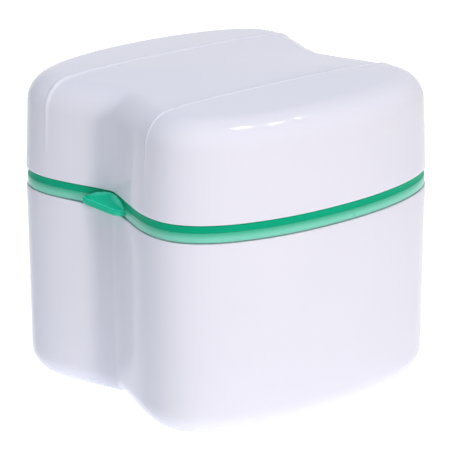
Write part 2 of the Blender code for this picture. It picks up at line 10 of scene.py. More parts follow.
import logging
import math
from collections.abc import Callable, Iterable, Sequence
from dataclasses import dataclass, field
from enum import Enum
from functools import cached_property
from typing import Any

import bmesh
import bpy
import numpy as np
from mathutils import Matrix, Vector


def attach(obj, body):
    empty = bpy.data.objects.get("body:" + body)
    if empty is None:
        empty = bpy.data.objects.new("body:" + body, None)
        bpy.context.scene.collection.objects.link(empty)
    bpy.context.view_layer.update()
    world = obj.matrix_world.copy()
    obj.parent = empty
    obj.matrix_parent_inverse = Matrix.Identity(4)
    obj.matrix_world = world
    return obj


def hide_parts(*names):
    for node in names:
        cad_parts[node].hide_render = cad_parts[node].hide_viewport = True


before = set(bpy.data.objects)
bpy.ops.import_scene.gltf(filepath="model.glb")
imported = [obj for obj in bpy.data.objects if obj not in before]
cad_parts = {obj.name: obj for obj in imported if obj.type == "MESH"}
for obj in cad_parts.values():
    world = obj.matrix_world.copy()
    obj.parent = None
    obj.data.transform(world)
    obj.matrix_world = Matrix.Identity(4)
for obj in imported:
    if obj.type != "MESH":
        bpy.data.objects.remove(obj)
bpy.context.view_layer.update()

MM = 0.001
log = logging.getLogger("denture_case")


class Body(Enum):
    """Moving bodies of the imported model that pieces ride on."""

    BASE = "base"
    INSERT = "insert"
    LID = "lid"
    LATCH = "latch"


class Slot(Enum):
    """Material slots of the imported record."""

    WHITE = "white_plastic"
    MINT = "mint_plastic"
    GREEN = "green_plastic"
    STRAINER = "strainer_plastic"
    SEAL = "seal_rubber"
    STEEL = "pin_steel"


class Merge(Enum):
    """How one solid shapes another."""

    JOIN = "UNION"
    CUT = "DIFFERENCE"


@dataclass(frozen=True)
class Level:
    """One level of a wall: how far it is set in, its height, and its share of the way from the middle."""

    inset: float
    height: float
    share: float = 1.0


@dataclass(frozen=True)
class Corner:
    """One corner of a wall's section, with the radius that rounds it off."""

    inset: float
    height: float
    radius: float = 0.0


def rounded(corners: Sequence[Corner], closed: bool, facet: float = 0.45 * MM, span: float = 1.0) -> list[Level]:
    """Turns a section's corners into levels, with an arc at each rounded corner.

    Args:
        corners: Corners of the section, in order.
        closed: Whether the last corner joins the first.
        facet: Longest facet of an arc.
        span: Longest straight stretch without a level between.

    Returns:
        The levels, in the same order.
    """
    spots = [Vector((corner.inset, corner.height)) for corner in corners]
    count = len(spots)
    path: list[Vector] = []
    for index, corner in enumerate(corners):
        here = spots[index]
        inner = closed or 0 < index < count - 1
        if not inner or corner.radius == 0:
            path.append(here)
            continue
        before = spots[index - 1] - here
        after = spots[(index + 1) % count] - here
        opening = before.angle(after)
        reach = corner.radius / math.tan(opening / 2)
        reach = min(reach, 0.98 * before.length, 0.98 * after.length)
        radius = reach * math.tan(opening / 2)
        middle = here + (before.normalized() + after.normalized()).normalized() * (radius / math.sin(opening / 2))
        first = here + before.normalized() * reach - middle
        last = here + after.normalized() * reach - middle
        sweep = first.angle(last)
        turn = math.copysign(1.0, first.x * last.y - first.y * last.x)
        steps = max(3, math.ceil(radius * sweep / facet))
        for step in range(steps + 1):
            angle = turn * sweep * step / steps
            spoke = Vector((
                first.x * math.cos(angle) - first.y * math.sin(angle),
                first.x * math.sin(angle) + first.y * math.cos(angle),
            ))
            path.append(middle + spoke)
    dense: list[Vector] = []
    for index, here in enumerate(path):
        dense.append(here)
        if index == len(path) - 1 and not closed:
            break
        there = path[(index + 1) % len(path)]
        pieces = math.ceil((there - here).length / span)
        dense += [here.lerp(there, part / pieces) for part in range(1, pieces)]
    return [Level(spot.x, spot.y) for spot in dense]


@dataclass(frozen=True)
class PlanOutline:
    """Plan of the case: a rounded box with a shallow notch pressed into its front and its back."""

    half_width: float = 45.0 * MM
    half_depth: float = 48.3 * MM
    side_power: float = 4.48
    front_power: float = 2.04
    notch_depth: float = 10.8 * MM
    notch_reach: float = 23.1 * MM
    notch_power: float = 1.47
    notch_softness: float = 3.0 * MM
    valley_depth: float = 0.5 * MM
    valley_width: float = 3.0 * MM
    valley_softness: float = 0.4 * MM
    notch_fade: float = 0.6
    centre_y: float = -1.0 * MM
    hair: float = 0.01 * MM
    quarter_steps: int = 56
    corner_weight: float = 0.7
    fine_steps: int = 6000

    @cached_property
    def trace(self) -> tuple[np.ndarray, np.ndarray]:
        """Points and outward normals of the whole outline, anticlockwise from +X."""
        crowded = 1 - (1 - np.linspace(0, 1, self.fine_steps)) ** 3
        turn = crowded * math.pi / 2
        across = self.half_width * np.clip(np.cos(turn), 0, 1) ** (2 / self.side_power)
        along = self.half_depth * np.sin(turn) ** (2 / self.front_power)
        near = self.notch_softness**self.notch_power
        spread = np.hypot(across, self.notch_softness) ** self.notch_power - near
        press = self.notch_depth * np.exp(-spread / self.notch_reach**self.notch_power)
        crease = np.hypot(across, self.valley_softness) - self.valley_softness
        press = press + self.valley_depth * np.exp(-crease / self.valley_width)
        fade = np.clip(along / (self.notch_fade * self.half_depth), 0, 1)
        along = along - press * fade * fade * (3 - 2 * fade)
        length = np.concatenate([[0], np.cumsum(np.hypot(np.diff(across), np.diff(along)))])
        even = np.linspace(0, length[-1], self.fine_steps)
        curve = np.stack([np.interp(even, length, axis) for axis in (across, along)], axis=1)
        slope = np.gradient(curve, axis=0)
        slope /= np.hypot(*slope.T)[:, None]
        normal = np.stack([slope[:, 1], -slope[:, 0]], axis=1)
        normal[0], normal[-1] = (1, 0), (0, 1)
        bend = np.hypot(*np.diff(normal, axis=0).T)
        weight = np.cumsum(1 / self.fine_steps + self.corner_weight * bend / bend.sum())
        weight = np.concatenate([[0], weight])
        picks = np.linspace(0, weight[-1], self.quarter_steps + 1)
        whole = []
        for table in (curve, normal):
            quarter = np.stack([np.interp(picks, weight, column) for column in table.T], axis=1)
            half = np.concatenate([quarter, (quarter[::-1] * (-1, 1))[1:]])
            whole.append(np.concatenate([half, (half[::-1] * (1, -1))[1:-1]]))
        return whole[0], whole[1] / np.hypot(*whole[1].T)[:, None]

    @property
    def notch_reach_y(self) -> float:
        """Distance from the plan's middle to the bottom of the notch."""
        return self.half_depth - self.notch_depth

    def front_y(self, inset: float) -> float:
        """World Y of a wall in the middle of the front notch, at an inset."""
        return inset - self.notch_reach_y + self.centre_y

    def front_wall(self, x: float) -> float:
        """World Y of the front wall at a place across the case."""
        points = self.trace[0]
        front = points[points[:, 1] < 0]
        front = front[np.argsort(front[:, 0])]
        return float(np.interp(x, *front.T)) + self.centre_y

    def back_y(self, reach: float) -> float:
        """World Y of a place that lies so far back from the plan's middle."""
        return reach + self.centre_y

    def ring(self, level: Level) -> list[Vector]:
        """World points of one level of a wall.

        Args:
            level: The level.

        Returns:
            One point for each step of the outline.
        """
        points, normals = self.trace
        flat = (points - (level.inset + self.hair) * normals) * level.share
        return [Vector((x, y + self.centre_y, level.height)) for x, y in flat]

    def holds(self, place: tuple[float, float], inset: float) -> bool:
        """Whether a plan point lies inside the outline at an inset.

        Args:
            place: X and Y from the plan's middle.
            inset: How far the outline is set in.

        Returns:
            True where the outline goes right round the point.
        """
        points, normals = self.trace
        rays = points - inset * normals - np.array(place)
        angle = np.unwrap(np.arctan2(rays[:, 1], rays[:, 0]))
        return abs(angle[-1] - angle[0]) > math.pi


@dataclass(frozen=True)
class Heights:
    """Heights and gaps that neighbouring pieces share."""

    shoulder: float = 51.75 * MM
    seat_gap: float = 0.3 * MM
    pin_gap: float = 0.15 * MM
    overrun: float = 1.0 * MM
    band_height: float = 2.45 * MM
    seam: float = 1.9 * MM
    tub_wall: float = 2.6 * MM

    @property
    def band_low(self) -> float:
        """Underside of the collar's band."""
        return self.shoulder + self.seat_gap

    @property
    def band_high(self) -> float:
        """Top of the collar's band."""
        return self.band_low + self.band_height

    @property
    def lid_edge(self) -> float:
        """Lower edge of the lid."""
        return self.band_high + self.seam


PLAN = PlanOutline()
HEIGHTS = Heights()


def skin(rings: Sequence[Sequence[Vector]], closed: bool = False) -> bmesh.types.BMesh:
    """Skins rings one after another by extruding an edge loop, and closes both ends.

    Args:
        rings: Rings of as many points each, in order along the section.
        closed: Whether the last ring joins the first. If not, each end ring shrinks to a pole.

    Returns:
        A closed mesh.
    """
    mesh = bmesh.new()
    column = mesh.verts.layers.int.new("column")
    loop = bmesh.ops.create_circle(mesh, cap_ends=False, segments=len(rings[0]), radius=1.0)["verts"]
    for place, vert in enumerate(loop):
        vert[column] = place
        vert.co = rings[0][place]
    first = list(loop)
    edges = list(mesh.edges)
    last = first
    for ring in [*rings[1:], *([rings[0]] if closed else [])]:
        grown = bmesh.ops.extrude_edge_only(mesh, edges=edges)["geom"]
        last = [item for item in grown if isinstance(item, bmesh.types.BMVert)]
        fresh = set(last)
        edges = [
            item
            for item in grown
            if isinstance(item, bmesh.types.BMEdge) and item.verts[0] in fresh and item.verts[1] in fresh
        ]
        for vert in last:
            vert.co = ring[vert[column]]
    if closed:
        bmesh.ops.remove_doubles(mesh, verts=[*first, *last], dist=0.001 * MM)
    else:
        for end in (first, last):
            middle = sum((vert.co for vert in end), Vector()) / len(end)
            bmesh.ops.pointmerge(mesh, verts=end, merge_co=middle)
    bmesh.ops.recalc_face_normals(mesh, faces=mesh.faces)
    return mesh


def wall(levels: Iterable[Level], closed: bool = False) -> bmesh.types.BMesh:
    """A wall of the case, skinned through levels of its plan outline."""
    return skin([PLAN.ring(level) for level in levels], closed)


def arc(centre: tuple[float, float], radius: float, start: float, end: float, steps: int) -> list[tuple[float, float]]:
    """Points of an arc, between two angles in degrees.

    Args:
        centre: Middle of the arc.
        radius: Its radius.
        start: First angle.
        end: Last angle.
        steps: Number of facets.

    Returns:
        The arc's points, both ends included.
    """
    turns = [math.radians(start + (end - start) * step / steps) for step in range(steps + 1)]
    return [(centre[0] + radius * math.cos(turn), centre[1] + radius * math.sin(turn)) for turn in turns]


def prism(corners: Sequence[Vector], travel: Vector, edge: float = 0.0, segments: int = 3) -> bmesh.types.BMesh:
    """Extrudes a flat face along a travel and rounds its sharp edges.

    Args:
        corners: Corners of the face, in order.
        travel: How far and which way it is extruded.
        edge: Radius of the rounded edges, or zero to leave them sharp.
        segments: Facets of each rounded edge.

    Returns:
        A closed mesh.
    """
    mesh = bmesh.new()
    face = mesh.faces.new([mesh.verts.new(corner) for corner in corners])
    grown = bmesh.ops.extrude_face_region(mesh, geom=[face])["geom"]
    moved = [item for item in grown if isinstance(item, bmesh.types.BMVert)]
    bmesh.ops.translate(mesh, verts=moved, vec=travel)
    bmesh.ops.recalc_face_normals(mesh, faces=mesh.faces)
    if edge:
        sharp = [item for item in mesh.edges if item.calc_face_angle(0) > math.radians(40)]
        bmesh.ops.bevel(
            mesh,
            geom=sharp,
            offset=edge,
            offset_type="OFFSET",
            segments=segments,
            profile=0.5,
            affect="EDGES",
            material=-1,
            clamp_overlap=True,
        )
    return mesh


def side_prism(
    profile: Sequence[tuple[float, float]], start: float, end: float, edge: float = 0.0
) -> bmesh.types.BMesh:
    """A profile in world Y and Z, extruded from one X to another."""
    return prism([Vector((start, y, z)) for y, z in profile], Vector((end - start, 0, 0)), edge)


def plan_prism(
    profile: Sequence[tuple[float, float]], low: float, high: float, edge: float = 0.0
) -> bmesh.types.BMesh:
    """A profile in world X and Y, extruded from one height to another."""
    return prism([Vector((x, y, low)) for x, y in profile], Vector((0, 0, high - low)), edge)


def box_plan(left: float, right: float, front: float, back: float) -> list[tuple[float, float]]:
    """Corners of a rectangle."""
    return [(left, front), (right, front), (right, back), (left, back)]


def round_bar(centre: tuple[float, float], radius: float, start: float, end: float, edge: float = 0.0) -> bmesh.types.BMesh:
    """A round bar along X, with its end edges rounded.

    Args:
        centre: World Y and Z of its axis.
        radius: Its radius.
        start: X of one end.
        end: X of the other end.
        edge: Radius of the end edges.

    Returns:
        A closed mesh.
    """
    mesh = bmesh.new()
    place = Matrix.Translation(((start + end) / 2, *centre)) @ Matrix.Rotation(math.pi / 2, 4, "Y")
    bmesh.ops.create_cone(
        mesh, cap_ends=True, segments=40, radius1=radius, radius2=radius, depth=abs(end - start), matrix=place
    )
    if edge:
        rims = [item for item in mesh.edges if item.calc_face_angle(0) > math.radians(40)]
        bmesh.ops.bevel(
            mesh, geom=rims, offset=edge, offset_type="OFFSET", segments=4, profile=0.5, affect="EDGES", material=-1
        )
    return mesh


def solid(mesh: bmesh.types.BMesh, name: str) -> bpy.types.Object:
    """Turns a mesh into an object that sits at the origin."""
    data = bpy.data.meshes.new(name)
    mesh.to_mesh(data)
    mesh.free()
    made = bpy.data.objects.new(name, data)
    bpy.context.scene.collection.objects.link(made)
    return made


def shape(target: bpy.types.Object, mesh: bmesh.types.BMesh, how: Merge) -> None:
    """Joins a mesh to an object or cuts it away, for good.

    Args:
        target: The object that changes.
        mesh: The other solid, used up.
        how: Join or cut.
    """
    tool = solid(mesh, f"{target.name}_tool")
    modifier = target.modifiers.new("shape", "BOOLEAN")
    modifier.operation = how.value
    modifier.solver = "EXACT"
    modifier.object = tool
    graph = bpy.context.evaluated_depsgraph_get()
    made = bpy.data.meshes.new_from_object(target.evaluated_get(graph))
    target.modifiers.remove(modifier)
    target.data = made
    bpy.data.objects.remove(tool)


def linear(code: str) -> tuple[float, float, float, float]:
    """Turns an sRGB hex colour into a linear one.

    Args:
        code: Six hex digits after a hash sign.

    Returns:
        Red, green, blue and alpha.
    """
    parts = [int(code[place : place + 2], 16) / 255 for place in (1, 3, 5)]
    flat = [part / 12.92 if part <= 0.04045 else ((part + 0.055) / 1.055) ** 2.4 for part in parts]
    return (flat[0], flat[1], flat[2], 1.0)


def add_node(
    tree: bpy.types.NodeTree,
    kind: str,
    settings: dict[str, Any] | None = None,
    links: dict[str | int, Any] | None = None,
) -> bpy.types.Node:
    """Adds a node, with its settings and what feeds it.

    Args:
        tree: The node tree.
        kind: Blender's name for the node type.
        settings: Properties to set on the node.
        links: For each input, by name or number, an output to link or a value to set.

    Returns:
        The node.
    """
    node = tree.nodes.new(kind)
    for name, value in (settings or {}).items():
        setattr(node, name, value)
    for name, source in (links or {}).items():
        if isinstance(source, bpy.types.NodeSocket):
            tree.links.new(source, node.inputs[name])
        else:
            node.inputs[name].default_value = source
    return node


def new_material(name: str) -> tuple[bpy.types.Material, bpy.types.NodeTree, bpy.types.Node]:
    """A material with an empty tree but for a Principled shader and its output."""
    made = bpy.data.materials.new(name)
    made.use_nodes = True
    tree = made.node_tree
    tree.nodes.clear()
    shader = add_node(tree, "ShaderNodeBsdfPrincipled")
    add_node(tree, "ShaderNodeOutputMaterial", links={"Surface": shader.outputs["BSDF"]})
    return made, tree, shader


@dataclass(frozen=True)
class PaintedShade:
    """Painted shade: a deeper colour painted on a milky plastic, rising towards a height, for the shade under the
    piece that rests on it.
    """

    colour: str
    start: float
    end: float
    strength: float


@dataclass(frozen=True)
class MouldedPlastic:
    """Injection-moulded plastic: a smooth skin with faint flow marks, a faint waviness and fine hairlines.

    The waviness is real orange peel from the mould, a few millimetres from crest to crest and some
    micrometres deep. The hairlines are handling marks, drawn as coarse as a close view can show.
    """

    name: str
    colour: str
    deep_colour: str
    roughness: float
    rough_spread: float = 0.06
    specular: float = 0.5
    ior: float = 1.46
    peel_mm: float = 3.2
    peel_depth_mm: float = 0.006
    grain_mm: float = 0.35
    grain_depth_mm: float = 0.001
    flow_mm: float = 38.0
    smear_mm: float = 6.0
    hairline_mm: float = 0.16
    hairline_depth_mm: float = 0.003
    hairline_rough: float = 0.12
    hairline_turns: tuple[float, ...] = (0.5, -0.9)
    worn_rough: float = 0.1
    # Pointiness range of the edge mask, which roughens rubbed edges and, with the colour below, paints a highlight on
    # them.
    worn_and_highlight_bend: tuple[float, float] = (0.54, 0.66)
    # Paler colour painted on crisp edges: a painted highlight.
    painted_highlight_colour: str | None = None
    subsurface: float = 0.0
    subsurface_mm: float = 1.0
    # Deeper colour painted towards a height: painted shade under a neighbouring piece.
    painted_shade: PaintedShade | None = None

    def wear_and_highlight(self, tree: bpy.types.NodeTree) -> bpy.types.NodeSocket:
        """Edge mask, one on crisp outer edges and nought elsewhere: it roughens rubbed edges and places the painted
        highlight.
        """
        bend = add_node(tree, "ShaderNodeNewGeometry").outputs["Pointiness"]
        start, full = self.worn_and_highlight_bend
        edge = add_node(tree, "ShaderNodeMapRange", links={"Value": bend, "From Min": start, "From Max": full})
        return edge.outputs["Result"]

    def tone(
        self, tree: bpy.types.NodeTree, place: bpy.types.NodeSocket, wear_and_highlight: bpy.types.NodeSocket
    ) -> bpy.types.NodeSocket:
        """Colour of the plastic, with its flow marks, a paler colour painted on crisp edges as a painted highlight,
        and a deeper colour painted towards a height as painted shade under its neighbour.

        Args:
            tree: The material's nodes.
            place: Object coordinates.
            wear_and_highlight: Edge mask, one on crisp outer edges, that places the painted highlight.

        Returns:
            The colour.
        """
        flow = add_node(
            tree, "ShaderNodeTexNoise", links={"Vector": place, "Scale": 1000 / self.flow_mm, "Detail": 3.0}
        )
        mix = add_node(
            tree,
            "ShaderNodeMix",
            {"data_type": "RGBA"},
            {0: flow.outputs["Fac"], 6: linear(self.colour), 7: linear(self.deep_colour)},
        )
        # Painted highlight: crisp edges are painted a paler colour.
        if self.painted_highlight_colour is not None:
            mix = add_node(
                tree, "ShaderNodeMix", {"data_type": "RGBA"}, {0: wear_and_highlight, 6: mix.outputs[2], 7: linear(self.painted_highlight_colour)}
            )
        if self.painted_shade is None:
            return mix.outputs[2]
        # Painted shade: a deeper colour that rises towards the given height, for the shade under the piece above.
        height = add_node(tree, "ShaderNodeSeparateXYZ", links={0: place}).outputs["Z"]
        rise = add_node(
            tree,
            "ShaderNodeMapRange",
            {"interpolation_type": "SMOOTHSTEP"},
            {
                "Value": height,
                "From Min": self.painted_shade.start,
                "From Max": self.painted_shade.end,
                "To Max": self.painted_shade.strength,
            },
        )
        below = add_node(
            tree, "ShaderNodeMath", {"operation": "LESS_THAN"}, {0: height, 1: self.painted_shade.end + 0.1 * MM}
        )
        share = add_node(
            tree, "ShaderNodeMath", {"operation": "MULTIPLY"}, {0: rise.outputs["Result"], 1: below.outputs[0]}
        )
        mixed = add_node(
            tree,
            "ShaderNodeMix",
            {"data_type": "RGBA"},
            {0: share.outputs[0], 6: mix.outputs[2], 7: linear(self.painted_shade.colour)},
        )
        return mixed.outputs[2]

    def hairlines(self, tree: bpy.types.NodeTree, place: bpy.types.NodeSocket) -> bpy.types.NodeSocket:
        """Sparse fine scratches in two directions, one where there is a scratch and nought elsewhere.

        Args:
            tree: The material's nodes.
            place: Object coordinates.

        Returns:
            The scratches.
        """
        total = None
        for turn in self.hairline_turns:
            lie = add_node(
                tree, "ShaderNodeMapping", links={"Vector": place, "Rotation": (turn, turn / 2, turn * 1.7)}
            )
            long = add_node(
                tree, "ShaderNodeMapping", links={"Vector": lie.outputs["Vector"], "Scale": (1 / 45, 1.0, 1.0)}
            )
            noise = add_node(
                tree,
                "ShaderNodeTexNoise",
                links={"Vector": long.outputs["Vector"], "Scale": 1000 / (4 * self.hairline_mm), "Detail": 2.0},
            )
            line = add_node(
                tree,
                "ShaderNodeMapRange",
                links={"Value": noise.outputs["Fac"], "From Min": 0.70, "From Max": 0.76},
            )
            if total is None:
                total = line.outputs["Result"]
            else:
                total = add_node(
                    tree, "ShaderNodeMath", {"operation": "MAXIMUM"}, {0: total, 1: line.outputs["Result"]}
                ).outputs[0]
        return total

    def dullness(
        self,
        tree: bpy.types.NodeTree,
        place: bpy.types.NodeSocket,
        lines: bpy.types.NodeSocket,
        wear_and_highlight: bpy.types.NodeSocket,
    ) -> bpy.types.NodeSocket:
        """Roughness: smeared by handling, and raised along scratches and on worn edges.

        Args:
            tree: The material's nodes.
            place: Object coordinates.
            lines: The scratches.
            wear_and_highlight: Edge mask, one on crisp outer edges, that here raises the roughness of rubbed edges.

        Returns:
            The roughness.
        """
        smear = add_node(
            tree,
            "ShaderNodeTexNoise",
            links={"Vector": place, "Scale": 1000 / self.smear_mm, "Detail": 6.0, "Roughness": 0.65},
        )
        rough = add_node(
            tree,
            "ShaderNodeMapRange",
            links={
                "Value": smear.outputs["Fac"],
                "From Min": 0.3,
                "From Max": 0.75,
                "To Min": self.roughness - self.rough_spread / 2,
                "To Max": self.roughness + self.rough_spread / 2,
            },
        )
        scratched = add_node(
            tree,
            "ShaderNodeMath",
            {"operation": "MULTIPLY_ADD"},
            {0: lines, 1: self.hairline_rough, 2: rough.outputs["Result"]},
        )
        worn = add_node(
            tree,
            "ShaderNodeMath",
            {"operation": "MULTIPLY_ADD"},
            {0: wear_and_highlight, 1: self.worn_rough, 2: scratched.outputs[0]},
        )
        return worn.outputs[0]

    def build(self) -> bpy.types.Material:
        """Makes the material."""
        made, tree, shader = new_material(self.name)
        place = add_node(tree, "ShaderNodeTexCoord").outputs["Object"]
        lines = self.hairlines(tree, place)
        wear_and_highlight = self.wear_and_highlight(tree)
        tree.links.new(self.tone(tree, place, wear_and_highlight), shader.inputs["Base Color"])
        tree.links.new(self.dullness(tree, place, lines, wear_and_highlight), shader.inputs["Roughness"])
        peel = add_node(tree, "ShaderNodeTexNoise", links={"Vector": place, "Scale": 1000 / self.peel_mm, "Detail": 1.0})
        grain = add_node(
            tree, "ShaderNodeTexNoise", links={"Vector": place, "Scale": 1000 / self.grain_mm, "Detail": 2.0}
        )
        reliefs = (
            (peel.outputs["Fac"], self.peel_depth_mm),
            (grain.outputs["Fac"], self.grain_depth_mm),
            (lines, -self.hairline_depth_mm),
        )
        normal = None
        for height, depth in reliefs:
            links = {"Height": height, "Distance": depth * MM, "Strength": 1.0}
            if normal is not None:
                links["Normal"] = normal
            normal = add_node(tree, "ShaderNodeBump", links=links).outputs["Normal"]
        tree.links.new(normal, shader.inputs["Normal"])
        shader.inputs["IOR"].default_value = self.ior
        shader.inputs["Specular IOR Level"].default_value = self.specular
        shader.inputs["Subsurface Weight"].default_value = self.subsurface
        shader.inputs["Subsurface Radius"].default_value = (1.0, 1.0, 1.0)
        shader.inputs["Subsurface Scale"].default_value = self.subsurface_mm * MM
        return made


@dataclass(frozen=True)
class Silicone:
    """Moulded silicone: a dull, slightly grabbing skin that catches specks of dust."""

    name: str
    colour: str
    deep_colour: str
    roughness: float = 0.42
    speck_mm: float = 0.5
    skin_mm: float = 0.8
    skin_depth_mm: float = 0.004
    ior: float = 1.41
    specular: float = 0.1

    def build(self) -> bpy.types.Material:
        """Makes the material."""
        made, tree, shader = new_material(self.name)
        place = add_node(tree, "ShaderNodeTexCoord").outputs["Object"]
        cloud = add_node(tree, "ShaderNodeTexNoise", links={"Vector": place, "Scale": 1000 / 12.0, "Detail": 4.0})
        tone = add_node(
            tree,
            "ShaderNodeMix",
            {"data_type": "RGBA"},
            {0: cloud.outputs["Fac"], 6: linear(self.colour), 7: linear(self.deep_colour)},
        )
        tree.links.new(tone.outputs[2], shader.inputs["Base Color"])
        speck = add_node(tree, "ShaderNodeTexNoise", links={"Vector": place, "Scale": 1000 / self.speck_mm, "Detail": 3.0})
        rough = add_node(
            tree,
            "ShaderNodeMapRange",
            links={
                "Value": speck.outputs["Fac"],
                "From Min": 0.35,
                "From Max": 0.7,
                "To Min": self.roughness - 0.05,
                "To Max": self.roughness + 0.12,
            },
        )
        tree.links.new(rough.outputs["Result"], shader.inputs["Roughness"])
        skin_noise = add_node(
            tree, "ShaderNodeTexNoise", links={"Vector": place, "Scale": 1000 / self.skin_mm, "Detail": 2.0}
        )
        bump = add_node(
            tree,
            "ShaderNodeBump",
            links={"Height": skin_noise.outputs["Fac"], "Distance": self.skin_depth_mm * MM, "Strength": 1.0},
        )
        tree.links.new(bump.outputs["Normal"], shader.inputs["Normal"])
        shader.inputs["IOR"].default_value = self.ior
        shader.inputs["Specular IOR Level"].default_value = self.specular
        return made


@dataclass(frozen=True)
class DrawnWire:
    """Bright drawn stainless wire: fine lines along its length and a soft sheen across it."""

    name: str
    colour: str
    roughness: float = 0.24
    line_mm: float = 0.12
    line_depth_mm: float = 0.002

    def build(self) -> bpy.types.Material:
        """Makes the material."""
        made, tree, shader = new_material(self.name)
        place = add_node(tree, "ShaderNodeTexCoord").outputs["Object"]
        # The lines run along the pin, which lies on X, so the pattern is stretched 60 times that way.
        along = add_node(tree, "ShaderNodeMapping", links={"Vector": place, "Scale": (1 / 60, 1.0, 1.0)})
        lines = add_node(
            tree, "ShaderNodeTexNoise", links={"Vector": along.outputs["Vector"], "Scale": 1000 / self.line_mm}
        )
        rough = add_node(
            tree,
            "ShaderNodeMapRange",
            links={
                "Value": lines.outputs["Fac"],
                "To Min": self.roughness - 0.08,
                "To Max": self.roughness + 0.10,
            },
        )
        tree.links.new(rough.outputs["Result"], shader.inputs["Roughness"])
        bump = add_node(
            tree,
            "ShaderNodeBump",
            links={"Height": lines.outputs["Fac"], "Distance": self.line_depth_mm * MM, "Strength": 1.0},
        )
        tree.links.new(bump.outputs["Normal"], shader.inputs["Normal"])
        shader.inputs["Base Color"].default_value = linear(self.colour)
        shader.inputs["Metallic"].default_value = 1.0
        return made


# Gloss moulded polypropylene: a cool, faintly lilac white with a clear sheen.
WHITE_POLYPROPYLENE = MouldedPlastic(
    name="gloss_white_polypropylene",
    colour="#eeedf5",
    deep_colour="#e9e9f1",
    roughness=0.10,
    rough_spread=0.05,
    specular=0.18,
)
# Unfilled polypropylene lets light in, so the band glows at its edge; a deeper green painted at its top is painted
# shade under the seal and the lid's edge.
MINT_POLYPROPYLENE = MouldedPlastic(
    name="milky_mint_polypropylene",
    colour="#84dcc3",
    deep_colour="#76d2b7",
    roughness=0.3,
    specular=0.4,
    subsurface=0.25,
    subsurface_mm=1.0,
    painted_shade=PaintedShade("#1db68c", HEIGHTS.band_low + 0.7 * MM, HEIGHTS.band_high, 0.85),
)
# Dyed through, with a strong even green; its crisp ridge is painted a paler green as a painted highlight.
GREEN_POLYPROPYLENE = MouldedPlastic(
    name="gloss_green_polypropylene",
    colour="#00c99c",
    deep_colour="#00c093",
    roughness=0.24,
    specular=0.09,
    worn_and_highlight_bend=(0.506, 0.535),
    painted_highlight_colour="#58dab8",
)
# Thin unfilled walls scatter light inside, so the strainer looks lit from within.
CLEAR_GREEN_POLYPROPYLENE = MouldedPlastic(
    name="translucent_green_polypropylene",
    colour="#5fcdb0",
    deep_colour="#4fc0a1",
    roughness=0.28,
    specular=0.4,
    subsurface=0.35,
    subsurface_mm=2.0,
)
# Soft and matt, and the deepest green of the case.
GREEN_SILICONE = Silicone(name="dark_green_silicone", colour="#06b487", deep_colour="#04a87d")
# Bright wire with lines along its length.
PIN_WIRE = DrawnWire(name="drawn_stainless_wire", colour="#c9cbd0")


@dataclass
class SubAssembly:
    """What the sub-assemblies of the case have in common: finishing their pieces."""

    looks: dict[str, bpy.types.Material] = field(default_factory=dict)

    def dress(
        self,
        piece: bpy.types.Object,
        finish: MouldedPlastic | Silicone | DrawnWire,
        body: Body,
        slot: Slot,
        node: str,
        sharp: float = 35.0,
    ) -> bpy.types.Object:
        """Shades a piece, gives it its material and sets it on its body in place of a CAD node.

        Args:
            piece: The finished shape.
            finish: What it is made of.
            body: The body that it moves with.
            slot: The record's material slot; not used.
            node: The CAD node that it stands for.
            sharp: Angle in degrees above which an edge stays sharp.

        Returns:
            The piece.
        """
        if finish.name not in self.looks:
            self.looks[finish.name] = finish.build()
        piece.data.materials.clear()
        piece.data.materials.append(self.looks[finish.name])
        piece.data.shade_smooth()
        piece.data.set_sharp_from_angle(angle=math.radians(sharp))
        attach(piece, body.value)
        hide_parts(node)
        piece.data.calc_loop_triangles()
        log.info("%s: %d triangles, rides on %s", piece.name, len(piece.data.loop_triangles), body.value)
        return piece


@dataclass
class Tub(SubAssembly):
    """White tub with a big round at its foot, a foot rim, a shoulder and the neck that the collar seats on."""

    floor: float = 2.6 * MM
    draft: float = 0.3
    foot_round: float = 7.7 * MM
    inner_round: float = 5.5 * MM
    shoulder_round: float = 0.4 * MM
    foot_width: float = 2.2 * MM
    foot_recess: float = 0.8 * MM
    foot_edge: float = 0.5 * MM
    neck_wall: float = 1.2 * MM
    neck_height: float = 1.65 * MM
    pocket_half: float = 9.8 * MM
    pocket_front: float = 3.7 * MM
    pocket_depth: float = 0.15 * MM

    def inset(self, height: float) -> float:
        """How far the drafted outer wall has drawn in at a height."""
        return (HEIGHTS.shoulder - height) * math.tan(math.radians(self.draft))

    def build(self) -> None:
        """Makes the tub."""
        foot = self.inset(0) + self.foot_round
        neck = HEIGHTS.tub_wall - self.neck_wall
        top = HEIGHTS.shoulder + self.neck_height
        low = self.inset(self.floor) + HEIGHTS.tub_wall
        corners = [
            Corner(foot + self.foot_width + self.foot_recess + 1.0 * MM, self.foot_recess),
            Corner(foot + self.foot_width + self.foot_recess, self.foot_recess, self.foot_edge),
            Corner(foot + self.foot_width, 0, self.foot_edge),
            Corner(self.inset(0), 0, self.foot_round),
            Corner(0, HEIGHTS.shoulder, self.shoulder_round),
            Corner(neck, HEIGHTS.shoulder, 0.2 * MM),
            Corner(neck, top, 0.3 * MM),
            Corner(HEIGHTS.tub_wall, top, 0.3 * MM),
            Corner(low, self.floor, self.inner_round),
            Corner(low + self.inner_round + 1.0 * MM, self.floor),
        ]
        levels = rounded(corners, closed=False, span=6.0 * MM)
        under = [Level(levels[0].inset, levels[0].height, share) for share in (0.05, 0.35, 0.65, 0.85)]
        inside = [Level(levels[-1].inset, levels[-1].height, share) for share in (0.85, 0.65, 0.35, 0.05)]
        tub = solid(wall([*under, *levels, *inside]), "tub_shell")
        pocket = box_plan(
            -self.pocket_half,
            self.pocket_half,
            PLAN.front_y(-self.pocket_front),
            PLAN.front_y(HEIGHTS.tub_wall + HEIGHTS.overrun),
        )
        shape(tub, plan_prism(pocket, HEIGHTS.shoulder - self.pocket_depth, top + HEIGHTS.overrun), Merge.CUT)
        self.dress(tub, WHITE_POLYPROPYLENE, Body.BASE, Slot.WHITE, "tub")


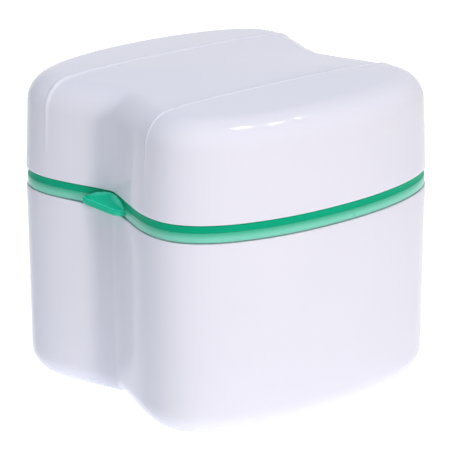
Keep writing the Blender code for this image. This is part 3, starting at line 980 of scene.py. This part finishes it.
@dataclass
class Hinge(SubAssembly):
    """Barrel hinge in the back notch: one knuckle on the lid between two on the collar."""

    radius: float = 1.995 * MM
    reach: float = 42.965 * MM
    rise: float = 0.9 * MM
    pin_radius: float = 0.9 * MM
    lid_half: float = 5.0 * MM
    collar_length: float = 4.0 * MM
    arm_height: float = 3.0 * MM
    arm_step: float = 0.3 * MM
    end_edge: float = 0.25 * MM
    lid_wall: float = 2.2 * MM

    @property
    def axis(self) -> tuple[float, float]:
        """World Y and Z of the hinge's axis."""
        return PLAN.back_y(self.reach), HEIGHTS.band_high + self.rise

    def knuckle(self, start_angle: float, low: float, high: float, start: float, end: float) -> bmesh.types.BMesh:
        """A barrel with the arm that joins it to the notch's wall.

        Args:
            start_angle: Where the barrel's round leaves the arm's underside, in degrees.
            low: Height of the arm's underside at the wall.
            high: Height of the arm's top at the wall.
            start: X of one end.
            end: X of the other end.

        Returns:
            A closed mesh.
        """
        foot = PLAN.back_y(PLAN.notch_reach_y - self.lid_wall)
        barrel = arc(self.axis, self.radius, start_angle, start_angle + 270, 36)
        return side_prism([*barrel, (foot, high), (foot, low)], start, end, self.end_edge)

    def cut_to_wall(self, mesh: bmesh.types.BMesh, levels: Iterable[Level]) -> bmesh.types.BMesh:
        """Cuts a knuckle back to the wall that it grows from.

        Args:
            mesh: The knuckle, used up.
            levels: Levels of the wall, stepped where the arm ends.

        Returns:
            The knuckle without what would stand inside the wall.
        """
        arm = solid(mesh, "knuckle_arm")
        shape(arm, wall(levels), Merge.CUT)
        cut = bmesh.new()
        cut.from_mesh(arm.data)
        bpy.data.objects.remove(arm)
        return cut

    def bore(self) -> bmesh.types.BMesh:
        """The hole that the pin runs in."""
        reach = self.lid_half + HEIGHTS.seat_gap + self.collar_length + HEIGHTS.overrun
        return round_bar(self.axis, self.pin_radius + HEIGHTS.pin_gap, -reach, reach)

    def build(self) -> None:
        """Makes the hinge pin."""
        reach = self.lid_half + self.collar_length
        pin = solid(round_bar(self.axis, self.pin_radius, -reach, reach, 0.25 * MM), "hinge_pin_wire")
        self.dress(pin, PIN_WIRE, Body.INSERT, Slot.STEEL, "hinge_pin")


@dataclass
class Lid(SubAssembly):
    """White domed lid whose middle band lies a hair lower than its two lobes."""

    rise: float = 25.4 * MM
    thickness: float = 2.2 * MM
    draft: float = 2.5
    round_over: float = 7.9 * MM
    inner_round: float = 6.0 * MM
    edge_round: float = 0.35 * MM
    crown: float = 1.11 * MM
    crown_slope: float = 0.07
    band_half: float = 20.7 * MM
    band_drop: float = 0.2 * MM
    step_width: float = 1.1 * MM
    bead_width: float = 0.5 * MM
    bead_height: float = 0.2 * MM
    step_cuts: int = 17
    catch_half: float = 4.2 * MM
    hinge: Hinge = field(default_factory=Hinge)

    @property
    def top(self) -> float:
        """Height where the crown begins."""
        return HEIGHTS.lid_edge + self.rise

    def fade(self, height: float) -> float:
        """How much of the band's drop is left at a height: all on top, a little on the front, none at the edge."""
        steps = [
            (HEIGHTS.lid_edge + 4.0 * MM, 0.0),
            (HEIGHTS.lid_edge + 10.0 * MM, 0.35),
            (self.top - self.round_over, 0.6),
            (self.top - 1.8 * MM, 1.0),
        ]
        return float(np.interp(height, *zip(*steps)))

    def relief(self, x: float) -> float:
        """How far the surface stands up at a place across the lid: a low band that climbs to a fine bead.

        Args:
            x: Distance from the middle.

        Returns:
            The rise, below zero on the band.
        """
        past = abs(x) - self.band_half
        climb = float(np.interp(past, (-self.step_width, 0), (0, 1)))
        fall = float(np.interp(past, (0, self.bead_width), (0, 1)))
        climb, fall = (share * share * (3 - 2 * share) for share in (climb, fall))
        return (self.band_drop + self.bead_height) * climb - self.band_drop - self.bead_height * fall

    def score(self, mesh: bmesh.types.BMesh, outer: set[bmesh.types.BMFace]) -> None:
        """Cuts lines along both sides of the middle band, lets the band down and raises the beads.

        Args:
            mesh: The lid.
            outer: Faces of its outer side.
        """
        shell = list(outer)
        places = np.linspace(-self.step_width, self.bead_width, self.step_cuts)
        for side in (-1, 1):
            for place in places:
                geometry = {item for face in shell for item in (*face.verts, *face.edges)}
                made = bmesh.ops.bisect_plane(
                    mesh,
                    geom=[*geometry, *shell],
                    dist=0.002 * MM,
                    plane_co=(side * (self.band_half + place), 0, 0),
                    plane_no=(1, 0, 0),
                )["geom"]
                shell = [item for item in made if isinstance(item, bmesh.types.BMFace)]
        mesh.normal_update()
        verts = {vert for face in shell for vert in face.verts}
        moved = [(vert, vert.co + vert.normal * self.relief(vert.co.x) * self.fade(vert.co.z)) for vert in verts]
        for vert, place in moved:
            vert.co = place

    def shell(self) -> bmesh.types.BMesh:
        """The dome, outside and in, with its lowered band."""
        lean = math.tan(math.radians(self.draft))
        low_edge = HEIGHTS.lid_edge
        top_inset = self.rise * lean
        roof = self.top - self.thickness
        roof_inset = self.thickness + (roof - low_edge) * lean
        flat = top_inset + self.round_over + 1.0 * MM
        corners = [
            Corner(flat, self.top),
            Corner(top_inset, self.top - self.crown_slope * (flat - top_inset), self.round_over),
            Corner(0, low_edge, self.edge_round),
            Corner(self.thickness, low_edge, 0.25 * MM),
            Corner(roof_inset, roof, self.inner_round),
            Corner(roof_inset + self.inner_round + 1.0 * MM, roof),
        ]
        levels = rounded(corners, closed=False, facet=0.6 * MM, span=1.2 * MM)
        shares = [0.01, *np.linspace(0.07, 0.97, 22)]
        crown = [Level(flat, self.top + self.crown * (1 - share * share), share) for share in shares]
        ceiling = [Level(levels[-1].inset, levels[-1].height, share) for share in (0.85, 0.6, 0.3, 0.02)]
        mesh = wall([*crown, *levels, *ceiling])
        self.score(mesh, {face for face in mesh.faces if self.is_outer(face)})
        bmesh.ops.recalc_face_normals(mesh, faces=mesh.faces)
        return mesh

    def is_outer(self, face: bmesh.types.BMFace) -> bool:
        """Whether a face belongs to the outer side, above the lid's edge."""
        middle = face.calc_center_median()
        if middle.z < HEIGHTS.lid_edge + 1.2 * MM:
            return False
        return face.normal.z > 0.02 or face.normal.dot(Vector((middle.x, middle.y - PLAN.centre_y, 0))) > 0

    def build(self, latch: "Latch") -> None:
        """Makes the lid.

        Args:
            latch: The latch that its catch holds.
        """
        lid = solid(self.shell(), "lid_shell")
        hinge = self.hinge
        step = HEIGHTS.lid_edge + hinge.arm_step
        gap = -HEIGHTS.seat_gap
        middle = self.thickness / 2
        levels = [Level(gap, 0), Level(gap, step), Level(middle, step), Level(middle, self.top)]
        arm = hinge.knuckle(200.0, step, HEIGHTS.lid_edge + hinge.arm_height, -hinge.lid_half, hinge.lid_half)
        shape(lid, hinge.cut_to_wall(arm, levels), Merge.JOIN)
        half = latch.half_width + latch.catch_gap
        pocket = box_plan(-half, half, latch.press_face, latch.hook_back)
        shape(lid, plan_prism(pocket, HEIGHTS.lid_edge - HEIGHTS.overrun, latch.shelf_height), Merge.CUT)
        catch = side_prism(latch.catch_profile(self), -self.catch_half, self.catch_half)
        shape(lid, catch, Merge.JOIN)
        shape(lid, hinge.bore(), Merge.CUT)
        self.dress(lid, WHITE_POLYPROPYLENE, Body.LID, Slot.WHITE, "lid", sharp=40.0)


@dataclass
class Latch(SubAssembly):
    """Green thumb tab in the front notch, on a barrel with a hook that stands inside the lid."""

    pivot_inset: float = 2.0 * MM
    pivot_rise: float = 1.25 * MM
    pin_radius: float = 0.5 * MM
    barrel_radius: float = 1.1 * MM
    half_width: float = 4.7 * MM
    pin_half: float = 8.1 * MM
    tab_half: float = 8.2 * MM
    tab_reach: float = 4.0 * MM
    tab_thickness: float = 1.65 * MM
    tab_rise: float = 0.3 * MM
    tab_ramp: float = 2.1 * MM
    tab_fall: float = 2.4
    tab_bead: float = 0.28 * MM
    tab_bead_place: float = 0.65 * MM
    tab_bead_width: float = 0.32 * MM
    tab_taper: float = 0.12
    tab_end: float = 9.0
    tab_bow: float = 4.6
    tab_squareness: float = 4.0
    tab_dish: float = 0.4 * MM
    tab_stations: int = 44
    stem_half: float = 0.8 * MM
    stem_embed: float = 1.5 * MM
    hook_inset: float = 1.0 * MM
    hook_thickness: float = 1.0 * MM
    hook_height: float = 6.0 * MM
    hook_room: float = 0.4 * MM
    press: float = math.radians(6.0)
    nib_reach: float = 0.6 * MM
    nib_drop: float = 1.1 * MM
    nib_face: float = 0.5 * MM
    catch_gap: float = 0.2 * MM
    catch_ledge: float = 0.6 * MM
    catch_ledge_height: float = 0.8 * MM
    catch_thickness: float = 1.2 * MM
    catch_rise: float = 0.5 * MM
    shelf: float = 1.6 * MM

    @property
    def pivot(self) -> tuple[float, float]:
        """World Y and Z of the latch's axis."""
        return PLAN.front_y(self.pivot_inset), HEIGHTS.band_low + self.pivot_rise

    @property
    def hook_back(self) -> float:
        """World Y of the hook's inner face."""
        return self.pivot[0] + self.hook_inset + self.hook_thickness

    @property
    def press_face(self) -> float:
        """World Y that the pressed hook's outer face reaches, with room to spare."""
        return self.pivot[0] + self.hook_inset - self.press * self.hook_height - self.catch_gap

    @property
    def shelf_height(self) -> float:
        """Underside of the catch, clear of the pressed hook."""
        return HEIGHTS.band_low + self.pivot_rise + self.hook_height + self.hook_room

    def catch_profile(self, lid: Lid) -> list[tuple[float, float]]:
        """Bracket inside the lid's front wall, with the ledge that the nib holds down.

        Args:
            lid: The lid that carries it.

        Returns:
            World Y and Z of its corners.
        """
        ledge = self.hook_back + self.nib_reach + self.catch_gap
        face = ledge + self.catch_ledge
        back = face + self.catch_thickness
        low = HEIGHTS.lid_edge + self.catch_rise
        shelf = self.shelf_height
        lean = (shelf - HEIGHTS.lid_edge) * math.tan(math.radians(lid.draft))
        wall_y = PLAN.front_y(lid.thickness / 2) + lean
        return [
            (wall_y, shelf),
            (face, shelf),
            (face, low + self.catch_ledge_height + self.catch_ledge / 2),
            (ledge, low + self.catch_ledge_height),
            (ledge, low + self.catch_ledge / 2),
            (face, low),
            (back, low),
            (back, shelf + self.shelf),
            (wall_y, shelf + self.shelf),
        ]

    def hook_profile(self) -> list[tuple[float, float]]:
        """Stem, upright hook and nib, seen from the side."""
        pivot_y, pivot_z = self.pivot
        outer = pivot_y + self.hook_inset
        inner = self.hook_back
        top = pivot_z + self.hook_height
        root = PLAN.front_y(-self.stem_embed)
        nib = top - self.nib_drop
        return [
            (root, pivot_z - self.stem_half),
            (outer, pivot_z - self.stem_half),
            (inner, pivot_z),
            (inner, nib),
            (inner + self.nib_reach, nib),
            (inner + self.nib_reach, nib + self.nib_face),
            (inner, top),
            (outer, top),
            (outer, pivot_z + self.stem_half),
            (root, pivot_z + self.stem_half),
        ]

    def tab_station(self, turn: float, steps: int = 96) -> list[Vector]:
        """Section of the tab at one place along it: a soft rectangle whose top climbs from a bead to the lid's edge.

        Args:
            turn: Place along the tab, an angle from a left to a right quarter turn.
            steps: Points round the section.

        Returns:
            World points of the section.
        """
        along = math.sin(turn)
        end = (1 - abs(along) ** self.tab_end) ** (1 / self.tab_end)
        half_height = self.tab_thickness / 2 * end * (1 - self.tab_taper * along * along)
        bow = (1 - abs(along) ** self.tab_bow) ** (1 / self.tab_bow)
        back = PLAN.front_y(HEIGHTS.tub_wall)
        front = PLAN.front_y(0) - self.tab_reach * bow
        middle = (front + back) / 2
        floor = HEIGHTS.band_low + self.tab_rise + self.tab_thickness / 2 * (1 - end)
        reach = max(PLAN.front_wall(along * self.tab_half) - front, 0.3 * MM)
        ring = []
        for step in range(steps):
            angle = 2 * math.pi * step / steps
            across, up = math.cos(angle), math.sin(angle)
            across = math.copysign(abs(across) ** (2 / self.tab_squareness), across)
            up = math.copysign(abs(up) ** (2 / self.tab_squareness), up)
            y = middle + across * (back - middle)
            share = min(max((y - front) / reach, 0.0), 1.0)
            lift = self.tab_ramp * share**1.3 * (1 - abs(along) ** self.tab_fall)
            dish = self.tab_dish * math.sin(math.pi * share**0.6) ** 2 * (1 - along**4)
            bead = self.tab_bead * math.exp(-(((y - front - self.tab_bead_place) / self.tab_bead_width) ** 2))
            z = floor + half_height * (1 + up) + (lift - dish + bead * bow) * max(up, 0.0)
            ring.append(Vector((along * self.tab_half, y, z)))
        return ring

    def tab(self) -> bmesh.types.BMesh:
        """The thumb tab, a soft leaf that is thickest in its middle."""
        turns = np.linspace(-math.pi / 2, math.pi / 2, self.tab_stations + 1)[1:-1]
        return skin([self.tab_station(float(turn)) for turn in turns])

    def build(self, band_inset: float) -> None:
        """Makes the latch and its pin.

        Args:
            band_inset: How far the collar's band is set in, which the tab's back follows.
        """
        latch = solid(self.tab(), "latch_tab")
        gap = band_inset - HEIGHTS.seat_gap
        shape(latch, wall([Level(gap, 0), Level(gap, HEIGHTS.lid_edge)]), Merge.CUT)
        shape(latch, side_prism(self.hook_profile(), -self.half_width, self.half_width), Merge.JOIN)
        shape(latch, round_bar(self.pivot, self.barrel_radius, -self.half_width, self.half_width), Merge.JOIN)
        reach = self.half_width + HEIGHTS.overrun
        shape(latch, round_bar(self.pivot, self.pin_radius + HEIGHTS.pin_gap, -reach, reach), Merge.CUT)
        self.dress(latch, GREEN_POLYPROPYLENE, Body.LATCH, Slot.GREEN, "latch", sharp=50.0)
        pin = solid(round_bar(self.pivot, self.pin_radius, -self.pin_half, self.pin_half, 0.15 * MM), "latch_pin_wire")
        self.dress(pin, PIN_WIRE, Body.INSERT, Slot.STEEL, "latch_pin")


@dataclass
class Collar(SubAssembly):
    """Mint collar with the lid's seal on it and the tub's seal in its sleeve."""

    band_inset: float = 0.35 * MM
    band_round: float = 0.06 * MM
    skirt: float = 0.75 * MM
    web: float = 0.8 * MM
    lip_inset: float = 2.7 * MM
    lip_wall: float = 1.2 * MM
    lip_height: float = 4.5 * MM
    ledge: float = 1.0 * MM
    sleeve_depth: float = 3.3 * MM
    groove_depth: float = 0.9 * MM
    groove_height: float = 1.1 * MM
    groove_rise: float = 0.5 * MM
    ear_half: float = 8.8 * MM
    ear_wall: float = 0.9 * MM
    seal_inset: float = 0.42 * MM
    seal_hollow: float = 0.10 * MM
    seal_gap: float = 0.2 * MM
    seal_seat: float = 0.03 * MM
    seal_proud: float = 0.2 * MM
    hinge: Hinge = field(default_factory=Hinge)

    def ring_levels(self) -> list[Level]:
        """Section of the ring: skirt and band outside, lip above, ledge inside, sleeve and groove below."""
        sleeve = HEIGHTS.tub_wall + HEIGHTS.seat_gap
        ledge = self.lip_inset + self.lip_wall + self.ledge
        web = HEIGHTS.band_high - self.web
        low = web - self.sleeve_depth
        groove = low + self.groove_rise
        lip = HEIGHTS.band_high + self.lip_height
        fine = 0.15 * MM
        corners = [
            Corner(self.band_inset, HEIGHTS.band_low, 0.12 * MM),
            Corner(self.band_inset, HEIGHTS.band_high, self.band_round),
            Corner(self.lip_inset, HEIGHTS.band_high, fine),
            Corner(self.lip_inset, lip, 0.4 * MM),
            Corner(self.lip_inset + self.lip_wall, lip, 0.4 * MM),
            Corner(self.lip_inset + self.lip_wall, HEIGHTS.band_high, fine),
            Corner(ledge, HEIGHTS.band_high, 0.25 * MM),
            Corner(ledge, low, 0.25 * MM),
            Corner(sleeve, low, fine),
            Corner(sleeve, groove, 0.08 * MM),
            Corner(sleeve + self.groove_depth, groove, 0.08 * MM),
            Corner(sleeve + self.groove_depth, groove + self.groove_height, 0.08 * MM),
            Corner(sleeve, groove + self.groove_height, 0.08 * MM),
            Corner(sleeve, web, fine),
            Corner(self.band_inset + self.skirt, web, fine),
            Corner(self.band_inset + self.skirt, HEIGHTS.band_low, 0.1 * MM),
        ]
        return rounded(corners, closed=True)

    def build(self, latch: Latch) -> None:
        """Makes the collar.

        Args:
            latch: The latch that rocks in its slot.
        """
        collar = solid(wall(self.ring_levels(), closed=True), "collar_ring")
        hinge = self.hinge
        inner = hinge.lid_half + HEIGHTS.seat_gap
        outer = inner + hinge.collar_length
        middle = self.band_inset + self.skirt / 2
        gap = -HEIGHTS.seat_gap
        top = HEIGHTS.band_high
        levels = [Level(middle, 0), Level(middle, top), Level(gap, top), Level(gap, top + 20 * MM)]
        for start, end in ((-outer, -inner), (inner, outer)):
            arm = hinge.knuckle(-110.0, HEIGHTS.band_low, top, start, end)
            shape(collar, hinge.cut_to_wall(arm, levels), Merge.JOIN)
        pivot_y, _ = latch.pivot
        ears = box_plan(pivot_y - self.ear_wall, pivot_y + latch.hook_inset, HEIGHTS.band_low, top)
        shape(collar, side_prism(ears, -self.ear_half, self.ear_half), Merge.JOIN)
        half = latch.half_width + HEIGHTS.seat_gap
        slot = box_plan(
            PLAN.front_y(-HEIGHTS.overrun - latch.tab_reach),
            latch.hook_back + HEIGHTS.seat_gap,
            HEIGHTS.band_low - HEIGHTS.seat_gap,
            top + self.lip_height + HEIGHTS.overrun,
        )
        shape(collar, side_prism(slot, -half, half), Merge.CUT)
        reach = latch.pin_half + HEIGHTS.seat_gap
        shape(collar, round_bar(latch.pivot, latch.pin_radius + HEIGHTS.pin_gap, -reach, reach), Merge.CUT)
        shape(collar, hinge.bore(), Merge.CUT)
        self.dress(collar, MINT_POLYPROPYLENE, Body.INSERT, Slot.MINT, "collar")

    def build_seals(self) -> None:
        """Makes the lid's seal, a little hollow on its face, and the tub's seal."""
        low = HEIGHTS.band_high + self.seal_seat
        high = HEIGHTS.lid_edge - self.seal_gap
        back = self.lip_inset - HEIGHTS.seat_gap
        corners = [
            Corner(self.seal_inset, low, 0.04 * MM),
            Corner(self.seal_inset + self.seal_hollow, (low + high) / 2, 1.2 * MM),
            Corner(self.seal_inset, high, 0.15 * MM),
            Corner(back, high, 0.15 * MM),
            Corner(back, low, 0.15 * MM),
        ]
        seal = solid(wall(rounded(corners, closed=True, facet=0.2 * MM), closed=True), "lid_seal_ring")
        self.dress(seal, GREEN_SILICONE, Body.INSERT, Slot.SEAL, "lid_seal")
        sleeve = HEIGHTS.tub_wall + HEIGHTS.seat_gap
        groove = HEIGHTS.band_high - self.web - self.sleeve_depth + self.groove_rise
        low = groove + HEIGHTS.pin_gap
        high = groove + self.groove_height - HEIGHTS.pin_gap
        back = sleeve + self.groove_depth - HEIGHTS.pin_gap
        corners = [
            Corner(sleeve - self.seal_proud, low, 0.3 * MM),
            Corner(sleeve - self.seal_proud, high, 0.3 * MM),
            Corner(back, high, 0.1 * MM),
            Corner(back, low, 0.1 * MM),
        ]
        seal = solid(wall(rounded(corners, closed=True, facet=0.2 * MM), closed=True), "tub_seal_ring")
        self.dress(seal, GREEN_SILICONE, Body.INSERT, Slot.SEAL, "tub_seal")


@dataclass
class Strainer(SubAssembly):
    """Translucent green strainer: a meshed floor, slotted walls and a flange that rests on the collar."""

    inset: float = 5.3 * MM
    thickness: float = 1.3 * MM
    floor: float = 1.5 * MM
    draft: float = 1.5
    outer_round: float = 4.0 * MM
    inner_round: float = 2.7 * MM
    bottom: float = 9.0 * MM
    flange_inset: float = 4.2 * MM
    flange_thickness: float = 1.0 * MM
    hole: float = 4.2 * MM
    hole_corner: float = 0.7 * MM
    pitch: float = 6.8 * MM
    margin: float = 2.0 * MM
    slot_width: float = 2.6 * MM
    slot_height: float = 13.0 * MM
    slot_rise: float = 7.0 * MM
    slot_pitch: float = 17.5 * MM
    slot_rows: int = 2
    slot_columns: int = 16

    def levels(self) -> list[Level]:
        """Section of the basket, from the middle of its underside over the flange to its floor."""
        flange = HEIGHTS.band_high + HEIGHTS.seat_gap
        top = flange + self.flange_thickness
        low = self.inset + (flange - self.bottom) * math.tan(math.radians(self.draft))
        inner = low + self.thickness
        floor = self.bottom + self.floor
        corners = [
            Corner(low + self.outer_round + 1.0 * MM, self.bottom),
            Corner(low, self.bottom, self.outer_round),
            Corner(self.inset, flange, 0.2 * MM),
            Corner(self.flange_inset, flange, 0.2 * MM),
            Corner(self.flange_inset, top, 0.3 * MM),
            Corner(self.inset + self.thickness, top, 0.3 * MM),
            Corner(inner, floor, self.inner_round),
            Corner(low + self.outer_round + 1.0 * MM, floor),
        ]
        made = rounded(corners, closed=False, span=8.0 * MM)
        under = [Level(made[0].inset, self.bottom, share) for share in (0.05, 0.5)]
        inside = [Level(made[-1].inset, floor, share) for share in (0.5, 0.05)]
        return [*under, *made, *inside]

    def cutters(self, add: Callable[[bmesh.types.BMesh], None]) -> None:
        """Hands on a cutter for each hole of the floor and each slot of the wall.

        Args:
            add: Takes one cutter.
        """
        edge = self.levels()[0].inset + self.margin
        reach = int(PLAN.half_width / self.pitch)
        half = self.hole / 2
        inner = half - self.hole_corner
        steps = 3
        for column in range(-reach, reach + 1):
            for row in range(-reach, reach + 1):
                x, y = column * self.pitch, row * self.pitch
                if not all(PLAN.holds((x + a * half, y + b * half), edge) for a in (-1, 1) for b in (-1, 1)):
                    continue
                turn = []
                for index, (a, b) in enumerate(((1, 1), (-1, 1), (-1, -1), (1, -1))):
                    corner = (x + a * inner, y + b * inner + PLAN.centre_y)
                    turn += arc(corner, self.hole_corner, 90 * index, 90 * index + 90, steps)
                add(plan_prism(turn, self.bottom - HEIGHTS.overrun, self.bottom + self.floor + HEIGHTS.overrun))
        points, normals = PLAN.trace
        skip = len(points) // (4 * self.slot_columns // 4)
        for place in range(0, len(points), skip):
            normal = Vector((*normals[place], 0))
            along = Vector((-normal.y, normal.x, 0))
            middle = Vector((points[place][0], points[place][1] + PLAN.centre_y, 0))
            start = middle - normal * (self.inset + 3 * self.thickness)
            travel = normal * (4 * self.thickness)
            radius = self.slot_width / 2
            for row in range(self.slot_rows):
                low = self.bottom + self.outer_round + self.slot_rise - self.slot_height / 2 + row * self.slot_pitch
                ends = [
                    *arc((0, low + radius), radius, 180, 360, 10),
                    *arc((0, low + self.slot_height - radius), radius, 0, 180, 10),
                ]
                corners = [start + along * side + Vector((0, 0, height)) for side, height in ends]
                add(prism(corners, travel))

    def build(self, latch: Latch) -> None:
        """Makes the strainer.

        Args:
            latch: The latch whose hook passes its flange.
        """
        strainer = solid(wall(self.levels()), "strainer_basket")
        holes = bmesh.new()

        def add(cutter: bmesh.types.BMesh) -> None:
            """Adds one cutter to the others."""
            data = bpy.data.meshes.new("cutter")
            cutter.to_mesh(data)
            cutter.free()
            holes.from_mesh(data)
            bpy.data.meshes.remove(data)

        self.cutters(add)
        shape(strainer, holes, Merge.CUT)
        half = latch.half_width + HEIGHTS.seat_gap + latch.catch_gap
        relief = box_plan(-half, half, PLAN.front_y(0), latch.hook_back + HEIGHTS.seat_gap)
        low = HEIGHTS.band_high
        shape(strainer, plan_prism(relief, low, low + self.flange_thickness + 2 * HEIGHTS.overrun), Merge.CUT)
        self.dress(strainer, CLEAR_GREEN_POLYPROPYLENE, Body.INSERT, Slot.STRAINER, "strainer")


@dataclass
class Lamp:
    """One soft box of the studio."""

    name: str
    place: tuple[float, float, float]
    size: tuple[float, float]
    power: float
    mirrored: bool = True
    lighting: bool = True
    colour: str = "#ffffff"

    def build(self, target: Vector) -> None:
        """Hangs the lamp, turned to the target."""
        data = bpy.data.lights.new(self.name, "AREA")
        data.shape = "RECTANGLE"
        data.size, data.size_y = self.size
        data.energy = self.power
        data.color = linear(self.colour)[:3]
        lamp = bpy.data.objects.new(self.name, data)
        bpy.context.scene.collection.objects.link(lamp)
        lamp.visible_glossy = self.mirrored
        lamp.visible_diffuse = self.lighting
        lamp.location = self.place
        lamp.rotation_euler = (target - lamp.location).to_track_quat("-Z", "Y").to_euler()


@dataclass
class Studio:
    """Plain white studio: floor, soft lamps, white surroundings and the photograph's camera."""

    target: tuple[float, float, float] = (0.0, -0.001, 0.038)
    azimuth: float = 50.57
    elevation: float = 18.57
    roll: float = -0.17
    distance: float = 0.649
    lens: float = 197.6
    shift_y: float = 0.0117
    ambient: float = 0.17
    ambient_colour: str = "#faf6ff"
    floor_size: float = 6.0
    floor_drop: float = 0.05 * MM
    floor_glow: float = 0.43
    floor_colour: str = "#f3faff"
    floor_lift: float = 0.33
    lamps: tuple[Lamp, ...] = (
        Lamp("key", (1.531, -0.270, 0.257), (0.12, 0.12), 8.8, mirrored=False, colour="#fff5ed"),
        Lamp("overhead", (0.088, -0.088, 0.625), (0.3, 0.3), 2.14, mirrored=False, colour="#eff4ff"),
        Lamp("back_fill", (-1.202, 0.987, 0.257), (0.5, 0.5), 3.4, mirrored=False, colour="#f7f6ff"),
        Lamp("near_window", (0.402, 0.223, 1.066), (0.13, 0.10), 2.4, lighting=False),
        Lamp("middle_window", (0.396, 0.430, 0.994), (0.08, 0.07), 1.05, lighting=False),
        Lamp("far_window", (0.268, 0.570, 0.961), (0.05, 0.02), 0.4, lighting=False),
    )

    def build_camera(self) -> None:
        """Sets the camera at the photograph's viewing angle."""
        data = bpy.data.cameras.new("photo_camera")
        camera = bpy.data.objects.new("photo_camera", data)
        bpy.context.scene.collection.objects.link(camera)
        turn, lift = math.radians(self.azimuth), math.radians(self.elevation)
        back = Vector((math.sin(turn) * math.cos(lift), -math.cos(turn) * math.cos(lift), math.sin(lift)))
        right = Vector((math.cos(turn), math.sin(turn), 0))
        up = back.cross(right)
        basis = Matrix((right, up, back)).transposed().to_4x4()
        roll = Matrix.Rotation(math.radians(self.roll), 4, "Z")
        place = Vector(self.target) + back * self.distance
        camera.matrix_world = Matrix.Translation(place) @ basis @ roll
        data.lens = self.lens
        data.sensor_width = 36.0
        data.shift_y = self.shift_y
        data.clip_start, data.clip_end = 0.01, 50.0
        bpy.context.scene.camera = camera

    def seen(self, tree: bpy.types.NodeTree) -> bpy.types.NodeSocket:
        """One for what the camera sees directly, mirrored or through a clear piece, and nought for other light."""
        rays = add_node(tree, "ShaderNodeLightPath")
        total = rays.outputs["Is Camera Ray"]
        for kind in ("Is Glossy Ray", "Is Transmission Ray"):
            links = {0: total, 1: rays.outputs[kind]}
            total = add_node(tree, "ShaderNodeMath", {"operation": "MAXIMUM"}, links).outputs[0]
        return total

    def build_world(self) -> None:
        """White surroundings for camera, gloss and glass, and a plain dimmer level for the rest."""
        world = bpy.data.worlds.new("white_studio")
        bpy.context.scene.world = world
        world.use_nodes = True
        tree = world.node_tree
        tree.nodes.clear()
        seen = self.seen(tree)
        level = add_node(tree, "ShaderNodeMapRange", links={"Value": seen, "To Min": self.ambient, "To Max": 1.0})
        tint = add_node(
            tree,
            "ShaderNodeMix",
            {"data_type": "RGBA"},
            {0: seen, 6: linear(self.ambient_colour), 7: (1.0, 1.0, 1.0, 1.0)},
        )
        sky = add_node(
            tree, "ShaderNodeBackground", links={"Color": tint.outputs[2], "Strength": level.outputs["Result"]}
        )
        add_node(tree, "ShaderNodeOutputWorld", links={"Surface": sky.outputs["Background"]})

    def build_floor(self) -> None:
        """A pale floor that reads white but keeps the case's shadow."""
        mesh = bmesh.new()
        place = Matrix.Translation((0, 0, -self.floor_drop))
        bmesh.ops.create_grid(mesh, x_segments=1, y_segments=1, size=self.floor_size / 2, matrix=place)
        floor = solid(mesh, "floor")
        made, tree, shader = new_material("pale_floor")
        shader.inputs["Base Color"].default_value = linear("#f4f4f6")
        shader.inputs["Roughness"].default_value = 0.9
        shader.inputs["Specular IOR Level"].default_value = 0.0
        seen = self.seen(tree)
        lift = add_node(
            tree, "ShaderNodeMath", {"operation": "MULTIPLY_ADD"}, {0: seen, 1: self.floor_lift, 2: self.floor_glow}
        )
        tint = add_node(
            tree,
            "ShaderNodeMix",
            {"data_type": "RGBA"},
            {0: seen, 6: linear(self.floor_colour), 7: (1.0, 1.0, 1.0, 1.0)},
        )
        glow = add_node(tree, "ShaderNodeEmission", links={"Color": tint.outputs[2], "Strength": lift.outputs[0]})
        both = add_node(tree, "ShaderNodeAddShader", links={0: shader.outputs["BSDF"], 1: glow.outputs["Emission"]})
        # Clear from below, so that the underside can be looked at.
        under = add_node(
            tree,
            "ShaderNodeMixShader",
            links={
                0: add_node(tree, "ShaderNodeNewGeometry").outputs["Backfacing"],
                1: both.outputs[0],
                2: add_node(tree, "ShaderNodeBsdfTransparent").outputs[0],
            },
        )
        output = next(node for node in tree.nodes if node.bl_idname == "ShaderNodeOutputMaterial")
        tree.links.new(under.outputs[0], output.inputs["Surface"])
        floor.data.materials.append(made)

    def build(self) -> None:
        """Builds the whole studio."""
        scene = bpy.context.scene
        scene.view_settings.view_transform = "Standard"
        self.build_camera()
        self.build_world()
        self.build_floor()
        for lamp in self.lamps:
            lamp.build(Vector(self.target))


def main() -> None:
    """Builds the case and its studio."""
    logging.basicConfig(level=logging.INFO, format="%(name)s: %(message)s")
    Studio().build()
    looks: dict[str, bpy.types.Material] = {}
    latch = Latch(looks=looks)
    hinge = Hinge(looks=looks)
    collar = Collar(looks=looks, hinge=hinge)
    Tub(looks=looks).build()
    collar.build(latch)
    collar.build_seals()
    Strainer(looks=looks).build(latch)
    Lid(looks=looks, hinge=hinge).build(latch)
    latch.build(collar.band_inset)
    hinge.build()


if __name__ == "__main__":
    main()
